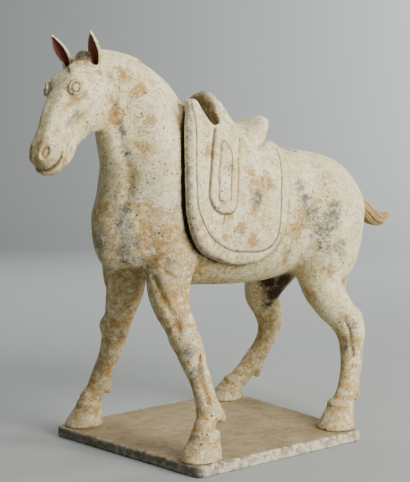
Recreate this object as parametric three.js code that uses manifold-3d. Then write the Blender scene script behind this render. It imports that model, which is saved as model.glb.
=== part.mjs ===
// Standing horse, saddled, in grey earthenware under a pale slip, on its own slab. The tail is a piece apart.
// Millimetres, +Z up. The horse faces -X, its left side is -Y; the origin lies under the middle of the slab.
// Each form is a distance field (negative inside). The fields are blended like pressed clay, then faceted.
import * as THREE from 'three';
import Module from 'manifold-3d';

// Sizes.
const SLAB_THICK = 13.7;
const SOLE_Z = 14.0; // the soles stand just clear of the slab
const SLAB_CORNERS = [[-154, 135], [-137, -134], [131, -145], [162, 141]];
const SLAB_ROUND = 5; // radius of the hand-cut corners, seen from above
const SLAB_EDGE = 1.6; // softened top and bottom edges
const TAIL_GAP = 0.9; // joint between tail root and rump

const FACET_BUDGET = 8900; // facets left on the horse
const TAIL_FACETS = 420;
const FINE = 2.2; // spacing of the sampling planes through the head
const COARSE = 3.2; // and through the rest
const HEAD_BACK_X = -140; // the head lies in front of this and above the next
const HEAD_LOW_Z = 360;
const SIDES = [-1, 1]; // its left, its right

// The head: turned to its left, pitched down, measured from a point on the poll.
const HEAD_TURN = THREE.MathUtils.degToRad(18);
const HEAD_PITCH = THREE.MathUtils.degToRad(56);
const POLL = [-200, -2, 478];

// Trunk. Rows: x, middle height, middle y, up, down, half width.
const TRUNK = [
  [-112, 296, 0, 78, 56, 50],
  [-90, 300, 0, 92, 78, 60],
  [-60, 304, 0, 108, 98, 67],
  [-20, 304, 0, 103, 103, 71],
  [40, 300, 0, 90, 102, 73],
  [90, 297, 0, 81, 97, 72],
  [140, 298, 0, 77, 86, 70],
  [176, 296, 0, 72, 76, 65],
  [200, 289, 0, 62, 70, 57],
  [217, 280, 0, 53, 62, 44],
];
// Neck. Rows: z, middle forward of the origin, middle y, front, back, half width.
const NECK = [
  [300, 112, 0, 50, 66, 56],
  [340, 112, 0, 49, 68, 50],
  [375, 114, 0, 55, 70, 42],
  [405, 117, 0, 58, 64, 35],
  [430, 122, 0, 56, 60, 30],
  [452, 132, 0, 54, 54, 25],
  [466, 146, 0, 50, 48, 20],
  [476, 158, 0, 40, 40, 16],
];
// Head. Rows: along the face from the poll, middle off the face line, sideways; then the radii: face side,
// jaw side, half width.
const HEAD = [
  [6, -24, 0, 22, 30, 20],
  [24, -24, 0, 33, 36, 23],
  [44, -20, 0, 36, 42, 24],
  [66, -22, 0, 37, 36, 20],
  [90, -19, 0, 33, 28, 15.5],
  [110, -18, 0, 29, 24, 15.5],
  [125, -18, 0, 27, 21, 17.5],
  [136, -16, 0, 22, 17, 16],
];
// Legs, the left mirrored from the right. Rows: x, y, z, radius, from the body down to the pastern.
const FORE_LEG = [
  [-102, 44, 250, 32], [-107, 44, 225, 28], [-107, 44, 200, 25], [-106, 53, 176, 20.5],
  [-104, 60, 164, 19], [-103, 66, 152, 18], [-101, 73, 140, 17.3], [-100, 78, 128, 16.2],
  [-99, 83, 116, 14.4], [-97, 89, 104, 13.2], [-97, 95, 92, 12.6], [-97, 100, 80, 13],
  [-97, 104, 68, 13.5], [-101, 107, 57, 12], [-106, 109, 50, 12.5],
];
const HIND_LEG = [
  [176, 30, 290, 58], [166, 40, 245, 50], [156, 50, 205, 34], [152, 57, 188, 29], [153, 63, 176, 26],
  [158, 69, 164, 24], [168, 73, 152, 22], [177, 76, 140, 21], [182, 78, 128, 19.5], [182.5, 80, 116, 17],
  [181, 82, 104, 15.2], [177.5, 86, 92, 14.3], [172.5, 90, 80, 14], [165, 94.5, 68, 14], [157, 98, 56, 13.5],
  [148, 101, 47, 13],
];
// How far each foot strays from that stance, in x and outward; left (-1) and right.
const FORE_STRAY = { '-1': [0, -2], 1: [-10, 2] };
const HIND_STRAY = { '-1': [-9, 4], 1: [-3, -3] };
const STRAY_FROM_Z = 125;
const STRAY_FULL_Z = 45;
// Tufts at the back of the fetlocks.
const FORE_TUFT = [[-94, 105, 71, 9.5], [-85, 107, 62, 8.5], [-79, 108, 56, 5.5]];
const HIND_TUFT = [[169, 93, 61, 9.5], [173, 96, 52, 8], [175, 97, 45, 5]];
// Hooves. Rows: z, middle forward of the origin, y of the right hoof, front, back, half width.
const FORE_HOOF = [
  [11, 112, 112, 27.5, 22, 23.5], [16, 112, 112, 26, 22, 23], [30, 109, 111, 19.5, 20, 19],
  [42, 105, 110, 14, 16, 15],
];
const HIND_HOOF = [
  [11, -124, 110, 25.5, 22, 23], [16, -124, 110, 24.5, 22, 22.5], [30, -131, 107, 20, 20, 19.5],
  [41, -138, 104, 15.5, 16.5, 15.5],
];
// Muscles that round the body out, on the right: middle, radii.
const SHOULDER = { middle: [-98, 34, 272], radii: [44, 34, 52] };
const RUMP = { middle: [180.5, 26, 302], radii: [56, 38, 60] };
const THIGH = { middle: [182, 38, 262], radii: [42, 30, 56] };
const BREAST = { middle: [-134, 0, 281], radii: [41, 46, 45] };
const WINDPIPE = [[-155, -3, 392, 20], [-143, 0, 350, 22], [-139, 0, 315, 22], [-141, 0, 285, 20]];
const NECK_MUSCLE = [[-118, 18, 420, 22], [-112, 26, 375, 30], [-108, 34, 330, 36], [-112, 34, 290, 34]];
const MANE = [
  [-196, -3, 478, 5], [-170, 0, 480.5, 6], [-140, 0, 477, 6], [-104, 0, 463, 6], [-74, 0, 444, 6],
  [-56, 0, 424, 6],
];
// Ears. Rows: share of the length, then the radii front, back and sideways; the hollow's rows also say how
// far forward its middle lies.
const EAR_LEAF = [
  [0, 4, 5.5, 5], [0.25, 5.4, 6, 7.2], [0.5, 5, 5.4, 7.4], [0.75, 3.6, 4, 4.8], [0.9, 2, 2.6, 2.4],
  [1, 1.1, 1.4, 1.1],
];
const EAR_HOLLOW = [
  [0.02, 4.6, 3.4, 3.6, 2], [0.25, 5.2, 4.4, 5.6, 5.2], [0.5, 4.8, 4, 5.2, 5.6], [0.75, 3.6, 2.8, 3.6, 3.2],
  [0.9, 2.8, 1.5, 2.4, 1.2],
];
const EAR_LIES = { '-1': [0.75, 0.45, -0.12], 1: [0.6, 0.5, -0.3] };
const TAIL = [
  [240, 0, 316, 11.5], [265, 0, 304, 12.5], [293, 0, 290, 13], [315, 0, 277, 12.5], [335, 0, 273, 9.5],
  [350, 0, 279, 4.5],
];

// Saddle cloth. Its edges sweep forward as they come down the barrel, so the outline is drawn over
// swept x (x carried back along that slant) and z. Its front and lower front edge stand off the body.
const CLOTH_THICK = 12;
const CLOTH_THIN = 5; // the thickness lost at the back of the spine
const CLOTH_GAP = 6; // height of the gap under its front edge
const CLOTH_GAP_DEEP = 13;
const CLOTH_BEVEL = 2.6;
const CLOTH_SWEEP = 0.873;
const CLOTH_TAPER = 0.00093;
const CLOTH_SCALE = 0.86; // swept x to distance on the cloth
const SPINE_ROUND = 8;
const SPINE_WIDE = 60; // over this much of the back the cloth turns from lying flat to hanging
const CLOTH_EDGE = [
  [-52, 480], [-54, 424], [-59, 398], [-61, 370], [-61, 330], [-60, 305], [-57, 287], [-50, 269],
  [-39, 255], [-24, 244.5], [-4, 236.5], [23, 231.5], [48, 232], [71, 236], [90, 244.5], [105, 256],
  [113, 269], [117, 285], [120, 303], [121, 321], [121.5, 340], [120, 358], [115, 371], [107, 380],
  [101, 390], [98, 480],
];
const CLOTH_TOP_Z = 433;
const BORDER_IN = 13; // incised border line, in from the edge
const BORDER_WIDE = 1.5;
const BORDER_DEEP = 1.4;
const FLAP_EDGE = [
  [-16, 420], [-18, 395], [-21, 378], [-23, 363], [-24.5, 347], [-26, 331], [-27, 317], [-24.5, 310],
  [-19, 301.5], [-10, 296], [1, 294.5], [14, 296], [21, 301], [24, 311], [25, 330], [26, 345],
  [25, 361], [25, 420],
];
const FLAP_RAISED = 1.8;

// Saddle tree. Rows: x, middle height, middle y, up, down, half width; its ends bow forward down the sides,
// the pommel less than the cantle, and the cantle leans back.
const SADDLE = [
  [-26, 372, 0, 69, 20, 55],
  [-19, 372, 0, 74, 20, 57],
  [-9, 372, 0, 72, 20, 59],
  [2, 372, 0, 57, 20, 62],
  [18, 372, 0, 40, 20, 65],
  [38, 372, 0, 33, 20, 66],
  [56, 372, 0, 38, 20, 65],
  [71, 372, 0, 46, 20, 61],
  [82, 372, 0, 46, 20, 56],
];
const SADDLE_ROUND = 1.8;
const SADDLE_LOW_Z = 371;
const POMMEL_BOW = 0.004;
const CANTLE_BOW = 0.011;
const BOW_FROM_X = -15;
const BOW_TO_X = 45;
const CANTLE_LEAN = 0.4;
const LEAN_Z = 410;
const POMMEL_HOLLOW = { middle: [-39.5, 0, 418], radii: [17, 62, 56] };

// Vectors and smooth curves.
const sub = (a, b) => [a[0] - b[0], a[1] - b[1], a[2] - b[2]];
const dot = (a, b) => a[0] * b[0] + a[1] * b[1] + a[2] * b[2];
const cross = (a, b) => [a[1] * b[2] - a[2] * b[1], a[2] * b[0] - a[0] * b[2], a[0] * b[1] - a[1] * b[0]];
const scaled = (a, s) => [a[0] * s, a[1] * s, a[2] * s];
const unit = (a) => scaled(a, 1 / Math.hypot(...a));
const sum = (...vs) => vs.reduce((t, v) => [t[0] + v[0], t[1] + v[1], t[2] + v[2]], [0, 0, 0]);
const clamp = (v, lo, hi) => Math.min(Math.max(v, lo), hi);
const mirrored = (p, side) => [p[0], p[1] * side, ...p.slice(2)];
/** 0 below low, 1 above high, smooth between. */
const rise = (v, low, high) => THREE.MathUtils.smoothstep(v, low, high);

/** Smooth curve through rows [at, value, value, ...]; returns a function from a place to its values. */
function through(rows) {
  const last = rows.length - 1;
  const wide = rows[0].length - 1;
  const slope = (i, c) => (rows[i + 1][c] - rows[i][c]) / (rows[i + 1][0] - rows[i][0]);
  const tangents = rows.map((row, i) => row.map((value, c) => {
    if (i === 0 || i === last) {
      return slope(i === 0 ? 0 : last - 1, c);
    }
    const before = row[0] - rows[i - 1][0];
    const after = rows[i + 1][0] - row[0];
    return (slope(i - 1, c) * after + slope(i, c) * before) / (before + after);
  }));
  const out = new Float64Array(wide);
  return (place) => {
    const at = clamp(place, rows[0][0], rows[last][0]);
    let i = 0;
    while (i < last - 1 && rows[i + 1][0] <= at) {
      i += 1;
    }
    const span = rows[i + 1][0] - rows[i][0];
    const t = (at - rows[i][0]) / span;
    const t2 = t * t;
    const t3 = t2 * t;
    for (let c = 0; c < wide; c += 1) {
      out[c] = (2 * t3 - 3 * t2 + 1) * rows[i][c + 1] + (t3 - 2 * t2 + t) * span * tangents[i][c + 1]
        + (3 * t2 - 2 * t3) * rows[i + 1][c + 1] + (t3 - t2) * span * tangents[i + 1][c + 1];
    }
    return out;
  };
}

// Fields.
const REACH = 22; // fields stay true this far outside their surface
const EPS = 1e-9;

/** Distance-like value of a rounded solid from its scaled offsets; power 2 is an ellipsoid. */
function rounded(u, ru, s, rs, a, ra, power) {
  const pu = (u / ru) ** (power - 1);
  const ps = (s / rs) ** (power - 1);
  const pa = (a / ra) ** (power - 1);
  const level = (pu * u / ru + ps * s / rs + pa * a / ra + EPS) ** (1 / power);
  const steep = Math.hypot(pu / ru, ps / rs, pa / ra) * level ** (1 - power);
  return (level - 1) / Math.max(steep, 1 / Math.max(ru, rs, ra));
}

/** Sections square to a straight axis. Rows: along, up, sideways, up radius, down radius, side radius. */
function sweep(rows, { origin = [0, 0, 0], axis = [1, 0, 0], up = [0, 0, 1], power = 2, cap = 1 }) {
  const along = unit(axis);
  const lift = unit(sub(up, scaled(along, dot(up, along))));
  const side = cross(lift, along);
  const section = through(rows);
  const first = rows[0][0];
  const end = rows[rows.length - 1][0];
  const box = new THREE.Box3();
  for (const [a, u, s, above, below, wide] of rows) {
    for (const du of [above, -below]) {
      for (const ds of [wide, -wide]) {
        const p = sum(origin, scaled(along, a), scaled(lift, u + du), scaled(side, s + ds));
        box.expandByPoint(new THREE.Vector3(...p));
      }
    }
  }
  box.expandByScalar(Math.max(...rows[0].slice(3), ...rows[rows.length - 1].slice(3)) * cap);
  const at = (x, y, z) => {
    const q = [x - origin[0], y - origin[1], z - origin[2]];
    const a = dot(q, along);
    const [cu, cs, above, below, wide] = section(a);
    const u = dot(q, lift) - cu;
    const s = Math.abs(dot(q, side) - cs);
    const ru = u > 0 ? above : below;
    const past = Math.abs(a - clamp(a, first, end));
    return rounded(Math.abs(u), ru, s, wide, past, Math.min(ru, wide) * cap, power);
  };
  return { box, at };
}

/** Ellipsoid with its own axis and up direction; radii along, across, up. */
function ball(middle, radii, axis = [1, 0, 0], up = [0, 0, 1]) {
  const along = unit(axis);
  const lift = unit(sub(up, scaled(along, dot(up, along))));
  const side = cross(lift, along);
  const half = [0, 1, 2].map((c) => (
    Math.abs(along[c]) * radii[0] + Math.abs(side[c]) * radii[1] + Math.abs(lift[c]) * radii[2]));
  const box = new THREE.Box3(
    new THREE.Vector3(...sub(middle, half)), new THREE.Vector3(...sum(middle, half)));
  const at = (x, y, z) => {
    const q = [x - middle[0], y - middle[1], z - middle[2]];
    const a = Math.abs(dot(q, along));
    const s = Math.abs(dot(q, side));
    const u = Math.abs(dot(q, lift));
    return rounded(u, radii[2], s, radii[1], a, radii[0], 2);
  };
  return { box, at };
}

/** Round limb through rows [x, y, z, radius], smoothed between them. */
function limb(rows, steps = 4) {
  let far = 0;
  const measured = rows.map((row, i) => {
    far += i ? Math.hypot(...sub(row, rows[i - 1])) : 0;
    return [far, ...row];
  });
  const curve = through(measured);
  const count = (rows.length - 1) * steps;
  const points = Array.from({ length: count + 1 }, (_, i) => Array.from(curve(far * i / count)));
  const box = new THREE.Box3();
  for (const [x, y, z, r] of points) {
    box.expandByPoint(new THREE.Vector3(x - r, y - r, z - r));
    box.expandByPoint(new THREE.Vector3(x + r, y + r, z + r));
  }
  const bones = points.slice(1).map((b, i) => {
    const a = points[i];
    const d = sub(b, a);
    return [a, d, dot(d, d), b[3] - a[3]];
  });
  const at = (x, y, z) => {
    let best = Infinity;
    for (const [a, d, long, grow] of bones) {
      const qx = x - a[0];
      const qy = y - a[1];
      const qz = z - a[2];
      const t = clamp((qx * d[0] + qy * d[1] + qz * d[2]) / long, 0, 1);
      const off = Math.hypot(qx - d[0] * t, qy - d[1] * t, qz - d[2] * t) - a[3] - grow * t;
      best = Math.min(best, off);
    }
    return best;
  };
  return { box, at };
}

/** Points of the closed smooth curve through the given corners. */
function outline(corners, steps = 4) {
  const vectors = corners.map(([s, z]) => new THREE.Vector3(s, z, 0));
  const curve = new THREE.CatmullRomCurve3(vectors, true, 'catmullrom', 0.5);
  return curve.getPoints(corners.length * steps).slice(0, -1).map((p) => [p.x, p.y]);
}

/** Signed distance to a closed outline, negative inside. */
function edgeDistance(points, s, z) {
  let best = Infinity;
  let inside = false;
  for (let i = 0, j = points.length - 1; i < points.length; j = i, i += 1) {
    const [as, az] = points[j];
    const [bs, bz] = points[i];
    const ds = bs - as;
    const dz = bz - az;
    const t = clamp(((s - as) * ds + (z - az) * dz) / (ds * ds + dz * dz), 0, 1);
    best = Math.min(best, Math.hypot(s - as - ds * t, z - az - dz * t));
    if ((az > z) !== (bz > z) && s < as + (z - az) * ds / dz) {
      inside = !inside;
    }
  }
  return inside ? -best : best;
}

const softMax = (a, b, soft) => Math.max(a, b) + Math.max(soft - Math.abs(a - b), 0) ** 2 / (4 * soft);
const softMin = (a, b, soft) => -softMax(-a, -b, soft);

/** A pile of clay: shapes pressed on, cut away or laid over in turn. */
class Clay {
  constructor() {
    this.steps = [];
  }

  press(shape, soft) {
    this.steps.push({ box: shape.box.clone().expandByScalar(soft + REACH),
      join: (x, y, z, f) => softMin(f, shape.at(x, y, z), soft) });
  }

  carve(shape, soft) {
    this.steps.push({ box: shape.box.clone().expandByScalar(soft + 2),
      join: (x, y, z, f) => softMax(f, -shape.at(x, y, z), soft) });
  }

  lay(low, high, join) {
    this.steps.push({ box: new THREE.Box3(new THREE.Vector3(...low), new THREE.Vector3(...high)), join });
  }

  near(box) {
    return this.steps.filter((step) => step.box.intersectsBox(box));
  }
}
const OUTSIDE = 60;
function fieldAt(steps, x, y, z) {
  let f = OUTSIDE;
  for (const { box: { min, max }, join } of steps) {
    if (x > min.x && x < max.x && y > min.y && y < max.y && z > min.z && z < max.z) {
      f = join(x, y, z, f);
    }
  }
  return f;
}

// The horse.
const down = sum(scaled([-Math.cos(HEAD_TURN), -Math.sin(HEAD_TURN), 0], Math.cos(HEAD_PITCH)),
  [0, 0, -Math.sin(HEAD_PITCH)]);
const right = [-Math.sin(HEAD_TURN), Math.cos(HEAD_TURN), 0];
const face = cross(right, down);
/** A direction, and a place, in the head: along the face, out of the face, to its right. */
const headWay = (a, v, w) => sum(scaled(down, a), scaled(face, v), scaled(right, w));
const headPlace = (a, v, w) => sum(POLL, headWay(a, v, w));

function pressPair(clay, rows, soft) {
  for (const side of SIDES) {
    clay.press(limb(rows.map((row) => mirrored(row, side))), soft);
  }
}

/** A point of the right leg moved to where the foot of the given side stands. */
function strayed([x, y, z, ...rest], stray, side) {
  const share = clamp((STRAY_FROM_Z - z) / (STRAY_FROM_Z - STRAY_FULL_Z), 0, 1);
  return [x + stray[side][0] * share, (y + stray[side][1] * share) * side, z, ...rest];
}

function pressLegs(clay, leg, tuft, hoof, stray) {
  for (const side of SIDES) {
    clay.press(limb(leg.map((row) => strayed(row, stray, side))), 15);
    const foot = hoof.map(([z, forward, y, ...radii]) => {
      const [x, across] = strayed([-forward, y, z], stray, side);
      return [z, -x, across, ...radii];
    });
    clay.press(sweep(foot, { axis: [0, 0, 1], up: [-1, 0, 0], power: 2.2, cap: 0.25 }), 4);
    clay.press(limb(tuft.map((row) => strayed(row, stray, side))), 7);
  }
}

function pressBody(clay) {
  clay.press(sweep(TRUNK, { power: 2.12, cap: 0.72 }), 4);
  clay.press(sweep(NECK, { axis: [0, 0, 1], up: [-1, 0, 0], cap: 0.5 }), 24);
  clay.press(ball(BREAST.middle, BREAST.radii), 22);
  clay.press(limb(WINDPIPE), 14);
  pressPair(clay, NECK_MUSCLE, 16);
  for (const [{ middle, radii }, soft] of [[SHOULDER, 16], [RUMP, 20], [THIGH, 18]]) {
    for (const side of SIDES) {
      clay.press(ball(mirrored(middle, side), radii), soft);
    }
  }
  pressLegs(clay, FORE_LEG, FORE_TUFT, FORE_HOOF, FORE_STRAY);
  pressLegs(clay, HIND_LEG, HIND_TUFT, HIND_HOOF, HIND_STRAY);
}

/** Rows of a ring, standing square to the given axis: long radius down the face, short radius across. */
function ring(middle, axis, long, short, thick) {
  const across = unit(cross(axis, down));
  const along = cross(axis, across);
  const turns = 16;
  return Array.from({ length: turns + 1 }, (_, i) => {
    const t = 2 * Math.PI * i / turns;
    return [...sum(middle, scaled(along, long * Math.cos(t)), scaled(across, short * Math.sin(t))), thick];
  });
}

function pressHead(clay) {
  clay.press(sweep(HEAD, { origin: POLL, axis: down, up: face, power: 2.25, cap: 0.8 }), 16);
  for (const side of SIDES) {
    clay.press(ball(headPlace(40, -34, side * 12), [34, 13, 30], down, face), 9);
    clay.press(ball(headPlace(43, 2, side * 11.5), [14, 8, 10.5], down, face), 8);
    clay.press(ball(headPlace(53, 4.5, side * 18 + 1.5), [9, 8, 8], down, face), 4);
    clay.press(ball(headPlace(127, -8, side * 9 - 1), [13.5, 9, 12], down, face), 7);
  }
  clay.press(ball(headPlace(114, -32, 0), [13, 10, 10.5], down, face), 8);
  for (const side of SIDES) {
    const gaze = unit(headWay(0.25, 0.66, side * 0.70));
    clay.press(limb(ring(headPlace(53.5, 9, side * 21.2 + 1.7), gaze, 7.9, 6.5, 1.5), 1), 1.5);
    const flare = unit(headWay(0.35, 0.74, side * 0.56));
    const nostril = headPlace(136.5, 2.6 - 0.6 * side, side * 9.8);
    const long = cross(flare, unit(cross(flare, down)));
    clay.press(ball(sum(nostril, scaled(flare, -3.5)), [12, 9, 4.6], long, flare), 4);
    clay.press(limb(ring(nostril, flare, 9.4, 5.7, 1.3), 1), 2);
    clay.carve(ball(sum(nostril, scaled(flare, 1.8)), [8.2, 4.6, 3.2], long, flare), 1.2);
    pressEar(clay, side);
    clay.carve(limb([
      [...headPlace(152, -12.5, side), 1.4], [...headPlace(147, -13.5, side * 13), 1.4],
      [...headPlace(142, -14, side * 16.5), 1.4], [...headPlace(127.5, -13, side * 19), 1.8]]), 2);
  }
  clay.press(limb(MANE), 6);
}

function pressEar(clay, side) {
  const root = headPlace(3, -12.5 + 2 * side, side * 19.5 + 5);
  const tip = headPlace(-8, 30, side * 28);
  const length = Math.hypot(...sub(tip, root));
  const axis = unit(sub(tip, root));
  const lie = { origin: root, axis, up: headWay(...EAR_LIES[side]) };
  clay.press(ball(sum(root, scaled(axis, -3)), [9, 9, 8], axis, face), 7);
  clay.press(sweep(EAR_LEAF.map(([at, ...radii]) => [at * length, 0, 0, ...radii]), lie), 3);
  clay.carve(sweep(EAR_HOLLOW.map(([at, out, ...radii]) => [at * length, out, 0, ...radii]), lie), 1);
}

/** The hollow in front of the pommel, cut through the saddle and the cloth down to the back. */
const pommelHollow = ball(POMMEL_HOLLOW.middle, POMMEL_HOLLOW.radii);

function layCloth(clay) {
  const edge = outline(CLOTH_EDGE);
  const flap = outline(FLAP_EDGE);
  clay.lay([-150, -105, 200], [165, 105, 455], (x, y, z, f) => {
    // The height above the body is taken off, so that the edge stands square to the body.
    const height = clamp(f, 0, 20) * clamp(Math.abs(y) / SPINE_WIDE, 0, 1);
    const wide = Math.hypot(y, SPINE_ROUND) - SPINE_ROUND - height;
    const swept = (x + CLOTH_SWEEP * wide) / (1 - CLOTH_TAPER * wide);
    const inset = edgeDistance(edge, swept, z) * CLOTH_SCALE;
    if (inset > REACH || f > CLOTH_THICK + CLOTH_GAP + REACH) {
      return f;
    }
    const lift = rise(35 - swept, 0, 50);
    const thin = CLOTH_THIN * clamp((swept - 50) / 60, 0, 1) * clamp((z - 330) / 40, 0, 1);
    const border = BORDER_DEEP * Math.exp(-(((inset + BORDER_IN) / BORDER_WIDE) ** 2));
    const raised = FLAP_RAISED * clamp(0.5 - edgeDistance(flap, swept, z) * CLOTH_SCALE / 2, 0, 1);
    const outer = f - CLOTH_THICK - CLOTH_GAP * lift + thin + border - raised;
    const bevelled = softMax(Math.max(outer, inset), (outer + inset) * Math.SQRT1_2 + CLOTH_BEVEL, 1.5);
    const cut = softMax(softMax(bevelled, z - CLOTH_TOP_Z, 3), -pommelHollow.at(x, y, z), 2);
    const gap = Math.max(-(inset + CLOTH_GAP_DEEP * lift), f - CLOTH_GAP * lift);
    return softMin(f, softMax(cut, -gap, 1.5), 1.5);
  });
}

function laySaddle(clay) {
  const tree = sweep(SADDLE, { power: SADDLE_ROUND, cap: 0.06 });
  clay.lay([-110, -100, 350], [120, 100, 470], (x, y, z, f) => {
    const back = rise(x, BOW_FROM_X, BOW_TO_X);
    const bow = POMMEL_BOW + (CANTLE_BOW - POMMEL_BOW) * back;
    const bowed = x + bow * y * y - CANTLE_LEAN * back * (z - LEAN_Z);
    const solid = softMax(tree.at(bowed, y, z), SADDLE_LOW_Z - z, 4);
    return softMin(f, softMax(solid, -pommelHollow.at(x, y, z), 7), 1.5);
  });
}

// Facets.
/** Sampling planes from one value to another, closer together inside the fine range. */
function planes(from, to, fineFrom, fineTo) {
  const out = [from];
  while (out[out.length - 1] < to) {
    const here = out[out.length - 1];
    out.push(here + (here >= fineFrom && here < fineTo ? FINE : COARSE));
  }
  return out;
}

/** Fills in squares of the sampling whose corners are in and out by turns, where the surface would pinch. */
function settle(field, strides, [nx, ny, nz]) {
  const barely = 0.05;
  let changed = true;
  while (changed) {
    changed = false;
    for (let here = 0; here < (nx - 1) * strides[0] - ny * nz; here += 1) {
      for (let way = 0; way < 3; way += 1) {
        const s1 = strides[way];
        const s2 = strides[(way + 1) % 3];
        const corners = [here, here + s1, here + s1 + s2, here + s2];
        const [a, b, c, d] = corners.map((corner) => field[corner] < 0);
        if (a === c && b === d && a !== b) {
          const outer = corners.filter((corner) => field[corner] >= 0);
          const nearest = outer.reduce((x, y) => (field[y] < field[x] ? y : x));
          field[nearest] = -barely;
          changed = true;
        }
      }
    }
  }
}

/** Closed surface where the field is nought: a point in each crossed cell, a square for each crossed edge. */
function surface(clay, axes) {
  const [nx, ny, nz] = axes.map((a) => a.length);
  const index = (i, j, k) => (i * ny + j) * nz + k;
  const field = new Float32Array(nx * ny * nz);
  const block = 8;
  const box = new THREE.Box3();
  for (let i0 = 0; i0 < nx; i0 += block) {
    for (let j0 = 0; j0 < ny; j0 += block) {
      for (let k0 = 0; k0 < nz; k0 += block) {
        const i1 = Math.min(i0 + block, nx);
        const j1 = Math.min(j0 + block, ny);
        const k1 = Math.min(k0 + block, nz);
        box.min.set(axes[0][i0], axes[1][j0], axes[2][k0]);
        box.max.set(axes[0][i1 - 1], axes[1][j1 - 1], axes[2][k1 - 1]);
        const steps = clay.near(box);
        const middle = box.getCenter(new THREE.Vector3());
        const centre = steps.length ? fieldAt(steps, middle.x, middle.y, middle.z) : OUTSIDE;
        const clear = Math.abs(centre) > box.getSize(new THREE.Vector3()).length() * 0.75;
        for (let i = i0; i < i1; i += 1) {
          for (let j = j0; j < j1; j += 1) {
            for (let k = k0; k < k1; k += 1) {
              field[index(i, j, k)] = clear ? centre : fieldAt(steps, axes[0][i], axes[1][j], axes[2][k]);
            }
          }
        }
      }
    }
  }
  const strides = [ny * nz, nz, 1];
  settle(field, strides, [nx, ny, nz]);
  const cells = new Map();
  const points = [];
  const tally = [];
  const quads = [];
  const cellPoint = (cell, p) => {
    let id = cells.get(cell);
    if (id === undefined) {
      id = tally.length;
      cells.set(cell, id);
      points.push(0, 0, 0);
      tally.push(0);
    }
    points[3 * id] += p[0];
    points[3 * id + 1] += p[1];
    points[3 * id + 2] += p[2];
    tally[id] += 1;
    return id;
  };
  for (let i = 1; i < nx - 1; i += 1) {
    for (let j = 1; j < ny - 1; j += 1) {
      for (let k = 1; k < nz - 1; k += 1) {
        const here = index(i, j, k);
        const f0 = field[here];
        const at = [i, j, k];
        for (let way = 0; way < 3; way += 1) {
          const f1 = field[here + strides[way]];
          if ((f0 < 0) !== (f1 < 0)) {
            const p = [axes[0][i], axes[1][j], axes[2][k]];
            p[way] += (axes[way][at[way] + 1] - axes[way][at[way]]) * f0 / (f0 - f1);
            const s1 = strides[(way + 1) % 3];
            const s2 = strides[(way + 2) % 3];
            const quad = [here - s1 - s2, here - s2, here, here - s1].map((cell) => cellPoint(cell, p));
            quads.push(f0 < 0 ? quad : quad.reverse());
          }
        }
      }
    }
  }
  const triangles = quads.flatMap(([a, b, c, d]) => [a, b, c, a, c, d]);
  return { points: Float64Array.from(points, (v, i) => v / tally[Math.floor(i / 3)]), triangles };
}

/** Smallest-first queue of [cost, ...] entries. */
class Queue {
  constructor() {
    this.heap = [];
  }

  push(entry) {
    const heap = this.heap;
    let i = heap.push(entry) - 1;
    while (i > 0) {
      const up = (i - 1) >> 1;
      if (heap[up][0] <= entry[0]) {
        break;
      }
      heap[i] = heap[up];
      i = up;
    }
    heap[i] = entry;
  }

  pop() {
    const heap = this.heap;
    const top = heap[0];
    const moved = heap.pop();
    if (heap.length) {
      let i = 0;
      for (;;) {
        let next = 2 * i + 1;
        if (next >= heap.length) {
          break;
        }
        if (next + 1 < heap.length && heap[next + 1][0] < heap[next][0]) {
          next += 1;
        }
        if (heap[next][0] >= moved[0]) {
          break;
        }
        heap[i] = heap[next];
        i = next;
      }
      heap[i] = moved;
    }
    return top;
  }
}

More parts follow.
